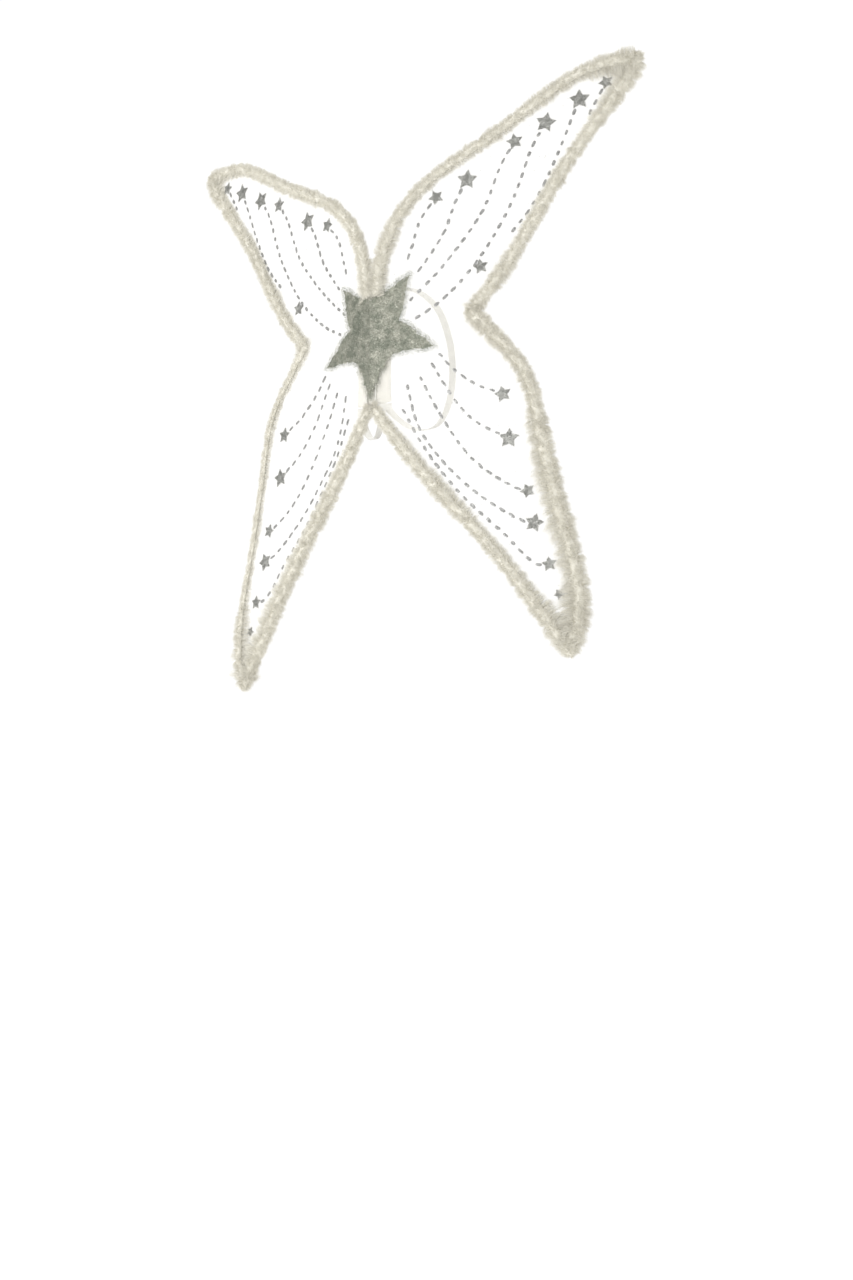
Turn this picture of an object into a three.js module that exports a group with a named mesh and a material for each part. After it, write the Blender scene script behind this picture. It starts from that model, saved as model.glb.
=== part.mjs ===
// Angel wings for a costume, worn on the back.
// Millimetres, +Z up, +Y the way the wearer faces, +X the wearer's right.
// The origin is the middle of the pad's front face, which lies on the wearer's back.
//
// Each half is flat and hinged at a fold on the centre plane. A place on a half is given by
//   out    the distance from the fold, along the cloth
//   up     the height above the origin
//   stand  the distance in front of the cloth's middle, towards the display side at the back
import * as THREE from 'three';

// The outline, given by its corners on the line of the wire
const UPPER_TIP_OUT = 418;
const UPPER_TIP_UP = 429;
const WAIST_OUT = 159; // the notch in the side, between the two lobes
const WAIST_UP = 50;
const LOWER_TIP_OUT = 301;
const LOWER_TIP_DOWN = 481;
const FOLD_OUT = 8; // from the centre plane to the wire beside the fold
const FOLD_HALF = 95; // half the height of the fold
const SWEEP = THREE.MathUtils.degToRad(15.8); // each half leans forward of a flat pair by this

// Thicknesses and clearances
const CLEAR = 0.3; // between pieces that touch on the real wings
const WIRE = 2.5;
const SLOT = WIRE / 2 + CLEAR; // from the line of the wire to what lies against the wire
const CLOTH = 1;
const GLITTER_SHEET = 2; // the large star
const STAR_SHEET = 0.8; // the small stars

// The fluffy trim
const FUR_RADIUS = 13.5;
const FUR_FLAT = 0.75; // how thick the trim is off the cloth, as a share of how wide it is
const LOCK_STEP = 20; // from one row of locks to the next
const LOCK_DEPTH = 0.24; // a lock stands out, and the gap beside it in, by this share of the radius
const LOCK_LEAN = 4; // the tips of the locks point on along the trim
const SEAM_ROUND = 1.2; // at a tip the fur reaches this many radii past the wire

// The large star over the fold, one point down
const STAR_RADIUS = 105;
const STAR_DENT = 50;
const STAR_UP = 32;

// The small stars
const SMALL_STAR = 16.5;
const SMALL_STAR_DENT = 7.5;
const SMALL_STAR_GAP = 12; // from the locks to the star that stands furthest in

// The pad and the arm loops
const PAD_WIDTH = 64;
const PAD_HEIGHT = 170;
const PAD_EDGE = 4; // thickness at the pad's two long edges
const STRAP_WIDTH = 12;
const STRAP_THICK = 1.5;
const STRAP_INSET = 1; // from the pad's long edge to a band that is sewn into the pad's end
const STRAP_STAND = 6; // the length that stands straight out of the pad's end
const STRAP_REACH = 125; // how far a loop stands forward
const STRAP_RISE = 28; // how far a loop stands above and below the pad
const STRAP_SPREAD = 40; // how far a loop fans outward by its front
const STRAP_STEP = 22;

// The fold lies behind the pad, whose wedge back follows the two halves
const FOLD_Y = -(PAD_EDGE + (PAD_WIDTH / 2) * Math.tan(SWEEP) + SLOT / Math.cos(SWEEP));

const COLOURS = {
  wire: new THREE.MeshStandardMaterial({ color: 0xe9e6df, roughness: 0.5, metalness: 0.1 }),
  cloth: new THREE.MeshStandardMaterial({ color: 0xf0ece4, roughness: 0.7, transparent: true, opacity: 0.5 }),
  fur: new THREE.MeshStandardMaterial({ color: 0xece6d8, roughness: 0.95 }),
  glitter: new THREE.MeshStandardMaterial({ color: 0x9b9f97, roughness: 0.35, metalness: 0.6 }),
  pad: new THREE.MeshStandardMaterial({ color: 0xf1eee7, roughness: 0.9 }),
  elastic: new THREE.MeshStandardMaterial({ color: 0xf4f2ee, roughness: 0.8 }),
};

const HANDS = { right: 1, left: -1 };

const CORNERS = {
  fold_top: [FOLD_OUT, FOLD_HALF],
  upper_tip: [UPPER_TIP_OUT, UPPER_TIP_UP],
  waist: [WAIST_OUT, WAIST_UP],
  lower_tip: [LOWER_TIP_OUT, -LOWER_TIP_DOWN],
  fold_foot: [FOLD_OUT, -FOLD_HALF],
};

// The four edges, in order round a half. Each row of bows is a place along the straight line
// between the corners and how far the edge stands outside that line, both as shares of its length.
// Each row of fur is a place along the edge and the trim's radius there, as a share of FUR_RADIUS.
const EDGES = [
  {
    name: 'upper_top', from: 'fold_top', to: 'upper_tip',
    bows: [
      { along: 0.044, bow: 0.042 },
      { along: 0.118, bow: 0.097 },
      { along: 0.201, bow: 0.136 },
      { along: 0.291, bow: 0.153 },
      { along: 0.384, bow: 0.151 },
      { along: 0.567, bow: 0.124 },
      { along: 0.751, bow: 0.105 },
      { along: 0.842, bow: 0.09 },
      { along: 0.927, bow: 0.054 },
    ],
    fur: [
      { along: 0, size: 0.9 },
      { along: 0.2, size: 0.95 },
      { along: 0.8, size: 1 },
      { along: 1, size: 1.15 },
    ],
  },
  {
    name: 'upper_low', from: 'upper_tip', to: 'waist',
    bows: [
      { along: 0.078, bow: 0.014 },
      { along: 0.162, bow: 0.01 },
      { along: 0.33, bow: 0.001 },
      { along: 0.455, bow: -0.002 },
      { along: 0.666, bow: 0.011 },
      { along: 0.834, bow: 0.015 },
    ],
    fur: [
      { along: 0, size: 1.15 },
      { along: 0.2, size: 1.05 },
      { along: 1, size: 1.1 },
    ],
  },
  {
    name: 'lower_out', from: 'waist', to: 'lower_tip',
    bows: [
      { along: 0.077, bow: 0.036 },
      { along: 0.157, bow: 0.075 },
      { along: 0.242, bow: 0.097 },
      { along: 0.413, bow: 0.088 },
      { along: 0.587, bow: 0.078 },
      { along: 0.759, bow: 0.076 },
      { along: 0.845, bow: 0.068 },
      { along: 0.927, bow: 0.046 },
    ],
    fur: [
      { along: 0, size: 1.1 },
      { along: 0.4, size: 1.2 },
      { along: 1, size: 1.15 },
    ],
  },
  {
    name: 'lower_in', from: 'lower_tip', to: 'fold_foot',
    bows: [
      { along: 0.168, bow: -0.008 },
      { along: 0.336, bow: -0.014 },
      { along: 0.506, bow: -0.009 },
      { along: 0.673, bow: 0.002 },
      { along: 0.842, bow: 0.006 },
    ],
    fur: [
      { along: 0, size: 1.15 },
      { along: 0.15, size: 1.1 },
      { along: 0.85, size: 1.05 },
      { along: 1, size: 0.8 },
    ],
  },
];

// The small stars. along is the place on the edge, in from the edge as far as the trim, the star's
// own radius and gap of SMALL_STAR_GAP need, size the share of SMALL_STAR, and turn in degrees.
const SMALL_STARS = {
  upper: [
    { edge: 'upper_top', along: 0.91, gap: 0.1, size: 0.7, turn: 20 },
    { edge: 'upper_top', along: 0.81, gap: 0.5, size: 1, turn: 0 },
    { edge: 'upper_top', along: 0.695, gap: 0.4, size: 1, turn: -14 },
    { edge: 'upper_top', along: 0.6, gap: 0.15, size: 0.8, turn: 10 },
    { edge: 'upper_top', along: 0.44, gap: 0.5, size: 1, turn: -6 },
    { edge: 'upper_top', along: 0.335, gap: 0.1, size: 0.75, turn: 25 },
    { edge: 'upper_low', along: 0.86, gap: 0.2, size: 0.75, turn: 8 },
  ],
  lower: [
    { edge: 'lower_out', along: 0.27, gap: 0.85, size: 0.8, turn: 12 },
    { edge: 'lower_out', along: 0.4, gap: 1, size: 0.95, turn: -5 },
    { edge: 'lower_out', along: 0.55, gap: 0.5, size: 0.7, turn: 22 },
    { edge: 'lower_out', along: 0.635, gap: 0.45, size: 0.9, turn: -16 },
    { edge: 'lower_out', along: 0.755, gap: 0.3, size: 0.7, turn: 6 },
    { edge: 'lower_out', along: 0.845, gap: 0.05, size: 0.5, turn: 30 },
  ],
};

// The upper half of an arm loop, from above the pad's end to the middle of its front:
// shares of STRAP_REACH forward and of half the loop's height up.
const STRAP_ROUTE = [
  { forward: 0.2, up: 0.95 },
  { forward: 0.45, up: 1 },
  { forward: 0.75, up: 0.86 },
  { forward: 0.94, up: 0.48 },
  { forward: 1, up: 0 },
];

function valueAt(rows, along, column) {
  const next = rows.findIndex((row) => row.along >= along);
  if (next < 1) return rows.at(next)[column];
  const a = rows[next - 1];
  const b = rows[next];
  return THREE.MathUtils.mapLinear(along, a.along, b.along, a[column], b[column]);
}

function edgeCurve(edge) {
  const start = new THREE.Vector2(...CORNERS[edge.from]);
  const end = new THREE.Vector2(...CORNERS[edge.to]);
  const chord = end.clone().sub(start);
  const outside = new THREE.Vector2(-chord.y, chord.x);
  const rows = [{ along: 0, bow: 0 }, ...edge.bows, { along: 1, bow: 0 }];
  return new THREE.CatmullRomCurve3(rows.map(({ along, bow }) => {
    const place = start.clone().addScaledVector(chord, along).addScaledVector(outside, bow);
    return new THREE.Vector3(place.x, place.y, 0);
  }));
}

// The points of one edge, each with its place along and the trim's radius there: its two ends, and
// between them one for each row of locks.
function edgeStations(edge) {
  const curve = edgeCurve(edge);
  const rows = Math.round(curve.getLength() / LOCK_STEP);
  const places = [0];
  for (let i = 0; i < rows; i++) places.push((i + 0.5) / rows);
  places.push(1);
  return places.map((along) => ({
    along,
    place: curve.getPointAt(along),
    radius: FUR_RADIUS * valueAt(edge.fur, along, 'size'),
  }));
}

// The whole outline: every station of every edge, each corner once. At each, ahead is the way the
// outline runs and across the way out of it. across is longer where the outline turns, so that
// sides stay parallel round a corner, and inner says on which side of it the corner's inside is.
function outline() {
  const stations = EDGES.flatMap((edge) => (
    edgeStations(edge).slice(0, -1).map(({ place }) => ({ place, edge: edge.name }))
  ));
  stations.push({ place: new THREE.Vector3(...CORNERS.fold_foot, 0) });
  const count = stations.length;
  stations.forEach((station, i) => {
    const before = stations[(i + count - 1) % count].place;
    const after = stations[(i + 1) % count].place;
    const arriving = station.place.clone().sub(before).normalize();
    const leaving = after.clone().sub(station.place).normalize();
    const halfTurn = arriving.angleTo(leaving) / 2;
    station.inner = Math.sign(arriving.clone().cross(leaving).z);
    station.ahead = arriving.add(leaving).normalize();
    station.stretch = 1 / Math.cos(halfTurn);
    station.across = new THREE.Vector3(-station.ahead.y, station.ahead.x, 0).multiplyScalar(station.stretch);
  });
  return stations;
}

const OUTLINE = outline();

// From a place on a half to the row frame
function onWings(hand, out, up, stand) {
  return new THREE.Vector3(
    hand * (out * Math.cos(SWEEP) + stand * Math.sin(SWEEP)),
    FOLD_Y + out * Math.sin(SWEEP) - stand * Math.cos(SWEEP),
    up,
  );
}

// Triangles that fill a flat contour, in the contour's own direction round
function fill(contour) {
  const faces = THREE.ShapeUtils.triangulateShape(contour, []);
  return THREE.ShapeUtils.isClockWise(contour) ? faces.map(([a, b, c]) => [c, b, a]) : faces;
}

// A closed body from rings of points. Its ends are filled by the triangles of cap, or it runs
// round and meets itself. The faces are turned to point out.
function bodyOfRings(rings, cap) {
  const size = rings[0].length;
  const points = rings.flat();
  const faces = [];
  const spans = cap ? rings.length - 1 : rings.length;
  for (let i = 0; i < spans; i++) {
    const a = i * size;
    const b = ((i + 1) % rings.length) * size;
    for (let j = 0; j < size; j++) {
      const k = (j + 1) % size;
      faces.push([a + j, a + k, b + k], [a + j, b + k, b + j]);
    }
  }
  if (cap) {
    const far = (rings.length - 1) * size;
    for (const [a, b, c] of cap) faces.push([c, b, a], [far + a, far + b, far + c]);
  }
  return closedBody(points, faces);
}

function closedBody(points, faces) {
  let volume = 0;
  for (const [a, b, c] of faces) {
    volume += points[a].dot(new THREE.Vector3().crossVectors(points[b], points[c]));
  }
  const outward = volume > 0 ? faces : faces.map(([a, b, c]) => [c, b, a]);
  const geometry = new THREE.BufferGeometry().setFromPoints(points);
  geometry.setIndex(outward.flat());
  geometry.computeVertexNormals();
  return geometry;
}

function wire(hand) {
  const sides = 5;
  const rings = OUTLINE.map(({ place, across }) => {
    const ring = [];
    for (let j = 0; j < sides; j++) {
      const turn = (j / sides) * 2 * Math.PI;
      const spot = place.clone().addScaledVector(across, Math.cos(turn) * WIRE / 2);
      ring.push(onWings(hand, spot.x, spot.y, Math.sin(turn) * WIRE / 2));
    }
    return ring;
  });
  return bodyOfRings(rings, null);
}

// The cloth ends just inside the wire all the way round.
function membrane(hand) {
  const edge = OUTLINE.map(({ place, across }) => {
    const spot = place.clone().addScaledVector(across, -SLOT);
    return new THREE.Vector2(spot.x, spot.y);
  });
  const rings = [CLOTH / 2, -CLOTH / 2].map((stand) => (
    edge.map((spot) => onWings(hand, spot.x, spot.y, stand))
  ));
  return bodyOfRings(rings, fill(edge));
}

// The section of the trim: a fluffy roll with a slot on its inner side for the cloth and the wire.
// u points out of the outline and w off the cloth. lockAt says whether a point of the roll stands
// out as a lock (1), in between locks (-1) or neither (0).
function furSection(radius, lockAt) {
  const sides = 8;
  const lip = -0.8 * radius;
  const section = [];
  for (let j = 0; j < sides; j++) {
    const turn = Math.PI - ((j + 0.5) / sides) * 2 * Math.PI;
    const lock = lockAt(j);
    const reach = radius * (1 + LOCK_DEPTH * lock);
    const off = FUR_FLAT * reach * Math.sin(turn);
    section.push({ u: reach * Math.cos(turn), w: off, on: lock > 0 ? LOCK_LEAN : 0 });
  }
  section.push({ u: lip, w: -SLOT, on: 0 }, { u: SLOT, w: -SLOT, on: 0 });
  section.push({ u: SLOT, w: SLOT, on: 0 }, { u: lip, w: SLOT, on: 0 });
  return section;
}

// A corner is halved between the trims that meet there. On the inside of its turn the seam takes
// them down to a wall round the slot, and round the outside it is rounder than a mitre.
function seamReach(corner, u) {
  const size = Math.abs(u);
  const rounder = size * Math.min(1, SEAM_ROUND / corner.stretch);
  const kept = u * corner.inner > 0 ? Math.min(size, 2 * SLOT) : rounder;
  return Math.sign(u) * Math.max(kept, Math.min(size, SLOT));
}

// How far across a point may go before it meets the seam at the nearer corner. way is 1 for a trim
// that starts there and -1 for one that ends there.
function clearOfSeam(base, across, u, corner, way) {
  const room = base.clone().sub(corner.place).dot(corner.ahead) * way - CLEAR / 2;
  const slope = across.dot(corner.ahead) * way;
  return room + u * slope < 0 ? -room / slope : u;
}

// One length of trim. Round it the points stand out and in by turns, and row by row the other way
// about, so that the surface is a set of locks. Its plain ends meet the next length at the seam.
function furTrim(edge, hand) {
  const first = OUTLINE.findIndex((station) => station.edge === edge.name);
  const stations = edgeStations(edge);
  const curve = edgeCurve(edge);
  const last = stations.length - 1;
  const rings = stations.map(({ place, along, radius }, i) => {
    const here = OUTLINE[first + i];
    const nearStart = i < last / 2;
    const corner = OUTLINE[nearStart ? first : first + last];
    const tangent = curve.getTangentAt(along);
    const inward = Number(i === 0) - Number(i === last);
    const seam = inward * here.stretch * CLEAR / 2;
    const lockAt = (j) => (inward ? 0 : 1 - 2 * ((i + j) % 2));
    return furSection(radius, lockAt).map(({ u, w, on }) => {
      const base = place.clone().addScaledVector(tangent, seam + on);
      const free = clearOfSeam(base, here.across, u, corner, nearStart ? 1 : -1);
      const spot = base.addScaledVector(here.across, inward ? seamReach(here, u) : free);
      return onWings(hand, clearOfCentre(spot.x, w), spot.y, w);
    });
  });
  const section = furSection(FUR_RADIUS, () => 0).map(({ u, w }) => new THREE.Vector2(u, w));
  return bodyOfRings(rings, fill(section));
}

// Where the trims of the two halves lie against each other they are flat.
function clearOfCentre(out, stand) {
  const least = (CLEAR / 2 - stand * Math.sin(SWEEP)) / Math.cos(SWEEP);
  return Math.max(out, least);
}

function starPoints(radius, dent, turn) {
  const points = [];
  for (let i = 0; i < 10; i++) {
    const angle = turn + (i / 10) * 2 * Math.PI;
    const reach = i % 2 ? dent : radius;
    points.push(new THREE.Vector2(reach * Math.cos(angle), reach * Math.sin(angle)));
  }
  return points;
}

// The large star is folded with the wings, and lies on the wires beside the fold.
function centreStar() {
  const down = -Math.PI / 2;
  const half = starPoints(STAR_RADIUS, STAR_DENT, down).slice(0, 6);
  const inside = fill(half);
  const sheets = [SLOT, SLOT + GLITTER_SHEET];
  const points = [];
  const faces = [];
  // Around the outline: the right half from the lowest point to the top dent, then the left half
  const rim = [];
  half.forEach((spot, i) => rim.push({ spot, hand: 1, onFold: i === 0 || i === half.length - 1 }));
  half.slice(1, -1).reverse().forEach((spot) => rim.push({ spot, hand: -1, onFold: false }));
  for (const stand of sheets) {
    for (const { spot, hand, onFold } of rim) {
      const out = onFold ? -stand * Math.tan(SWEEP) : spot.x;
      points.push(onWings(hand, out, STAR_UP + spot.y, stand));
    }
  }
  const count = rim.length;
  const mirrored = (i) => (count - i) % count;
  for (const [a, b, c] of inside) {
    const right = [a, b, c];
    const left = [mirrored(c), mirrored(b), mirrored(a)];
    for (const [p, q, r] of [right, left]) {
      faces.push([r, q, p], [count + p, count + q, count + r]);
    }
  }
  for (let i = 0; i < count; i++) {
    const k = (i + 1) % count;
    faces.push([i, k, count + k], [i, count + k, count + i]);
  }
  return closedBody(points, faces);
}

function smallStar(row, hand) {
  const edge = EDGES.find(({ name }) => name === row.edge);
  const curve = edgeCurve(edge);
  const place = curve.getPointAt(row.along);
  const tangent = curve.getTangentAt(row.along);
  const radius = SMALL_STAR * row.size;
  const locks = FUR_RADIUS * valueAt(edge.fur, row.along, 'size') * (1 + LOCK_DEPTH);
  const inset = locks + radius + row.gap * SMALL_STAR_GAP;
  const middle = new THREE.Vector2(place.x + tangent.y * inset, place.y - tangent.x * inset);
  const turn = Math.PI / 2 + THREE.MathUtils.degToRad(row.turn);
  const spots = starPoints(radius, SMALL_STAR_DENT * row.size, turn);
  const back = CLOTH / 2 + CLEAR;
  const rings = [back, back + STAR_SHEET].map((stand) => (
    spots.map((spot) => onWings(hand, middle.x + spot.x, middle.y + spot.y, stand))
  ));
  return bodyOfRings(rings, fill(spots));
}

function backPad() {
  const half = PAD_WIDTH / 2;
  const ridge = FOLD_Y + SLOT / Math.cos(SWEEP);
  const plan = new THREE.Shape([
    new THREE.Vector2(half, 0),
    new THREE.Vector2(-half, 0),
    new THREE.Vector2(-half, -PAD_EDGE),
    new THREE.Vector2(0, ridge),
    new THREE.Vector2(half, -PAD_EDGE),
  ]);
  const geometry = new THREE.ExtrudeGeometry(plan, { depth: PAD_HEIGHT, bevelEnabled: false });
  return geometry.translate(0, 0, -PAD_HEIGHT / 2);
}

// An arm loop leaves the pad in the middle of the pad's thickness, at its upper and lower end.
function strapRoute(hand) {
  const inset = STRAP_INSET + STRAP_WIDTH / 2;
  const seatOut = PAD_WIDTH / 2 - inset;
  const seatAhead = -(PAD_EDGE + inset * Math.tan(SWEEP)) / 2;
  const seatUp = PAD_HEIGHT / 2 + CLEAR;
  const loopHalf = PAD_HEIGHT / 2 + STRAP_RISE;
  const upper = [0, STRAP_STAND].map((stand) => new THREE.Vector3(seatOut, seatAhead, seatUp + stand));
  for (const { forward, up } of STRAP_ROUTE) {
    const out = seatOut + STRAP_SPREAD * forward;
    const ahead = THREE.MathUtils.lerp(seatAhead, STRAP_REACH, forward);
    upper.push(new THREE.Vector3(out, ahead, loopHalf * up));
  }
  const lower = upper.slice(0, -1).reverse().map((p) => new THREE.Vector3(p.x, p.y, -p.z));
  return new THREE.CatmullRomCurve3([...upper, ...lower].map((p) => p.setX(hand * p.x)));
}

// A flat elastic band, whose width stays as near to the wearer's left and right as it can.
function shoulderStrap(hand) {
  const curve = strapRoute(hand);
  const steps = Math.round(curve.getLength() / STRAP_STEP);
  const rings = [];
  for (let i = 0; i <= steps; i++) {
    const spot = curve.getPointAt(i / steps);
    const along = curve.getTangentAt(i / steps);
    const wide = new THREE.Vector3(1, 0, 0).addScaledVector(along, -along.x).normalize();
    const thick = new THREE.Vector3().crossVectors(along, wide);
    rings.push([[-1, -1], [1, -1], [1, 1], [-1, 1]].map(([a, b]) => (
      spot.clone().addScaledVector(wide, a * STRAP_WIDTH / 2).addScaledVector(thick, b * STRAP_THICK / 2)
    )));
  }
  return bodyOfRings(rings, [[0, 1, 2], [0, 2, 3]]);
}

const wings = new THREE.Group();

function add(name, geometry, material) {
  const mesh = new THREE.Mesh(geometry, material.clone());
  mesh.name = name;
  wings.add(mesh);
}

for (const [side, hand] of Object.entries(HANDS)) {
  add(`frame_wire_${side}`, wire(hand), COLOURS.wire);
  add(`membrane_${side}`, membrane(hand), COLOURS.cloth);
  for (const edge of EDGES) add(`fur_${edge.name}_${side}`, furTrim(edge, hand), COLOURS.fur);
  for (const [lobe, rows] of Object.entries(SMALL_STARS)) {
    rows.forEach((row, i) => add(`star_${lobe}_${i + 1}_${side}`, smallStar(row, hand), COLOURS.glitter));
  }
  add(`shoulder_strap_${side}`, shoulderStrap(hand), COLOURS.elastic);
}
add('centre_star', centreStar(), COLOURS.glitter);
add('back_pad', backPad(), COLOURS.pad);

export default wings;
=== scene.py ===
# %% [markdown]
# # Angel wings for a costume
# The wings are worn on the back: two flat halves of sheer cloth, each inside one closed loop of
# covered wire, with a fluffy trim round the edge, a large glitter star over the fold, small glitter
# stars and dashed rays on the cloth, and a pad with two elastic arm loops on the wearer's side.
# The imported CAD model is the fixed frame. Every soft or glittering solid in it is replaced by a
# piece of the same place and size, made here with the detail that the real one shows.
#
# All lengths are metres. +Z is up, +Y the way the wearer faces, +X the wearer's right.

import math

import bmesh
import bpy
import numpy as np
from mathutils import Matrix, Vector
from mathutils.geometry import delaunay_2d_cdt


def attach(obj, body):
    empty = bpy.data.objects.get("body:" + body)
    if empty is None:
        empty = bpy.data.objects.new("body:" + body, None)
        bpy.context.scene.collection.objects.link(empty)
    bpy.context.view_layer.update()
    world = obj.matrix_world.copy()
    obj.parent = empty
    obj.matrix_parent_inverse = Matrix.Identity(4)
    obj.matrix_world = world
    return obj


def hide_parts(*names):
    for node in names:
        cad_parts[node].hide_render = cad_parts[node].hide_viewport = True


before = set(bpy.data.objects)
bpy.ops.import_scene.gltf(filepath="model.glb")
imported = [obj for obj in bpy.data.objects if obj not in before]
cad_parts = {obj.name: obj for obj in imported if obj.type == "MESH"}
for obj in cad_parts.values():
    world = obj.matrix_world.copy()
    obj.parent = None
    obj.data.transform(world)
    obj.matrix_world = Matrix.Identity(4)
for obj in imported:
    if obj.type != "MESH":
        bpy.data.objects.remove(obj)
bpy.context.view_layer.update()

# %% [markdown]
# ## Sizes
# The same named sizes as the CAD source, so that each piece here lies where its solid lies.

# %% Sizes
MM = 0.001
SWEEP = math.radians(15.8)  # each half leans forward of a flat pair by this
WIRE = 2.5 * MM
CLEAR = 0.3 * MM
SLOT = WIRE / 2 + CLEAR  # from the line of the wire to what lies against the wire
FUR_RADIUS = 13.5 * MM
FUR_FLAT = 0.75  # how thick the trim is off the cloth, as a share of how wide it is
STAR_RADIUS = 105 * MM
STAR_DENT = 50 * MM
STAR_UP = 32 * MM
SMALL_STAR = 16.5 * MM
SMALL_STAR_DENT = 8.8 * MM
SMALL_STAR_GAP = 12 * MM
LOCK_DEPTH = 0.24
PAD_WIDTH = 64 * MM
PAD_HEIGHT = 170 * MM
PAD_EDGE = 4 * MM
FOLD_Y = -(PAD_EDGE + PAD_WIDTH / 2 * math.tan(SWEEP) + SLOT / math.cos(SWEEP))
HANDS = {"right": 1, "left": -1}

CORNERS = {
    "fold_top": (8 * MM, 95 * MM),
    "upper_tip": (418 * MM, 429 * MM),
    "waist": (159 * MM, 50 * MM),
    "lower_tip": (301 * MM, -481 * MM),
    "fold_foot": (8 * MM, -95 * MM),
}

# Each edge: its two corners, then its bows as (place along, distance outside the straight line),
# both shares of that line's length, then the trim as (place along, share of FUR_RADIUS).
EDGES = {
    "upper_top": (
        "fold_top", "upper_tip",
        [(0.044, 0.042), (0.118, 0.097), (0.201, 0.136), (0.291, 0.153), (0.384, 0.151),
         (0.567, 0.124), (0.751, 0.105), (0.842, 0.09), (0.927, 0.054)],
        [(0, 0.9), (0.2, 0.95), (0.8, 1), (1, 1.15)],
    ),
    "upper_low": (
        "upper_tip", "waist",
        [(0.078, 0.014), (0.162, 0.01), (0.33, 0.001), (0.455, -0.002), (0.666, 0.011), (0.834, 0.015)],
        [(0, 1.15), (0.2, 1.05), (1, 1.1)],
    ),
    "lower_out": (
        "waist", "lower_tip",
        [(0.077, 0.036), (0.157, 0.075), (0.242, 0.097), (0.413, 0.088), (0.587, 0.078),
         (0.759, 0.076), (0.845, 0.068), (0.927, 0.046)],
        [(0, 1.1), (0.4, 1.2), (1, 1.15)],
    ),
    "lower_in": (
        "lower_tip", "fold_foot",
        [(0.168, -0.008), (0.336, -0.014), (0.506, -0.009), (0.673, 0.002), (0.842, 0.006)],
        [(0, 1.15), (0.15, 1.1), (0.85, 1.05), (1, 0.8)],
    ),
}

# %% [markdown]
# ## Places on a half
# A half of the wings is flat and hinged at the fold, so a place on it has three numbers: out from
# the fold along the cloth, up, and stand, in front of the cloth on the display side. One function
# turns them into the frame of the whole object for the right or the left half, and every piece on
# the cloth uses it. The left half is the mirror image, so hand is 1 or -1.


# %% Places on a half
def on_wings(hand, out, up, stand):
    """Places on a half as rows of x, y, z."""
    out, up, stand = np.broadcast_arrays(np.asarray(out, float), up, stand)
    x = hand * (out * math.cos(SWEEP) + stand * math.sin(SWEEP))
    y = FOLD_Y + out * math.sin(SWEEP) - stand * math.cos(SWEEP)
    return np.stack([x, y, up], -1)


def smooth_curve(points, per_span=48):
    """A centripetal spline through the points, in even steps of its own length."""
    points = np.asarray(points, float)
    padded = np.vstack([2 * points[0] - points[1], points, 2 * points[-1] - points[-2]])
    t = np.linspace(0, 1, per_span, endpoint=False)[:, None]
    pieces = []
    for a, b, c, d in zip(padded, padded[1:], padded[2:], padded[3:]):
        ab, bc, cd = (math.sqrt(np.linalg.norm(q - p)) for p, q in ((a, b), (b, c), (c, d)))
        leave = ((b - a) / ab - (c - a) / (ab + bc) + (c - b) / bc) * bc
        arrive = ((c - b) / bc - (d - b) / (bc + cd) + (d - c) / cd) * bc
        pieces.append(b + leave * t + (3 * (c - b) - 2 * leave - arrive) * t**2
                      + (2 * (b - c) + leave + arrive) * t**3)
    return np.vstack(pieces + [points[-1:]])


def even_steps(path, step):
    """The same path with points about a step apart, and how far along each lies."""
    lengths = np.concatenate([[0], np.cumsum(np.linalg.norm(np.diff(path, axis=0), axis=1))])
    count = max(2, round(lengths[-1] / step) + 1)
    along = np.linspace(0, lengths[-1], count)
    return np.stack([np.interp(along, lengths, column) for column in path.T], -1), along


def directions(path):
    """The unit direction of a path at each of its points."""
    ahead = np.gradient(path, axis=0)
    return ahead / np.linalg.norm(ahead, axis=1, keepdims=True)


def edge_path(name, step=1 * MM):
    """The line of the wire along one edge, with the trim's radius at each point."""
    start, end, bows, trim = EDGES[name]
    start, end = np.array(CORNERS[start]), np.array(CORNERS[end])
    chord = end - start
    outside = np.array([-chord[1], chord[0]])
    rows = [start] + [start + a * chord + b * outside for a, b in bows] + [end]
    path, along = even_steps(smooth_curve(rows), step)
    share = along / along[-1]
    radius = FUR_RADIUS * np.interp(share, *zip(*trim))
    return path, along, radius


PATHS = {name: edge_path(name) for name in EDGES}
for name, (path, along, radius) in PATHS.items():
    print(f"{name}: {along[-1]:.3f} m long, trim {radius.min() * 2:.3f} to {radius.max() * 2:.3f} m across")

# %% [markdown]
# ## Making meshes
# Most pieces are arrays of points and faces worked out with numpy. Handing whole arrays to Blender
# with foreach_set is far quicker than adding vertices one by one, which matters for the trim, where
# a piece has tens of thousands of fibres.


# %% Mesh helpers
def new_piece(name, points, faces, material, replaced=(), smooth=True):
    """A mesh object from rows of points and faces that all have as many corners."""
    points = np.asarray(points, np.float32)
    faces = np.asarray(faces, np.int32)
    mesh = bpy.data.meshes.new(name)
    mesh.vertices.add(len(points))
    mesh.vertices.foreach_set("co", points.ravel())
    mesh.loops.add(faces.size)
    mesh.loops.foreach_set("vertex_index", faces.ravel())
    mesh.polygons.add(len(faces))
    mesh.polygons.foreach_set("loop_start", np.arange(0, faces.size, faces.shape[1], dtype=np.int32))
    mesh.polygons.foreach_set("use_smooth", np.full(len(faces), smooth))
    mesh.update(calc_edges=True)
    mesh.materials.append(material)
    return place_piece(bpy.data.objects.new(name, mesh), replaced)


def place_piece(piece, replaced=()):
    """Links a piece under the root, and hides the CAD nodes that it stands for."""
    if piece.name not in bpy.context.scene.collection.objects:
        bpy.context.scene.collection.objects.link(piece)
    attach(piece, "root")
    if replaced:
        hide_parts(*replaced)
    return piece


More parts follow.
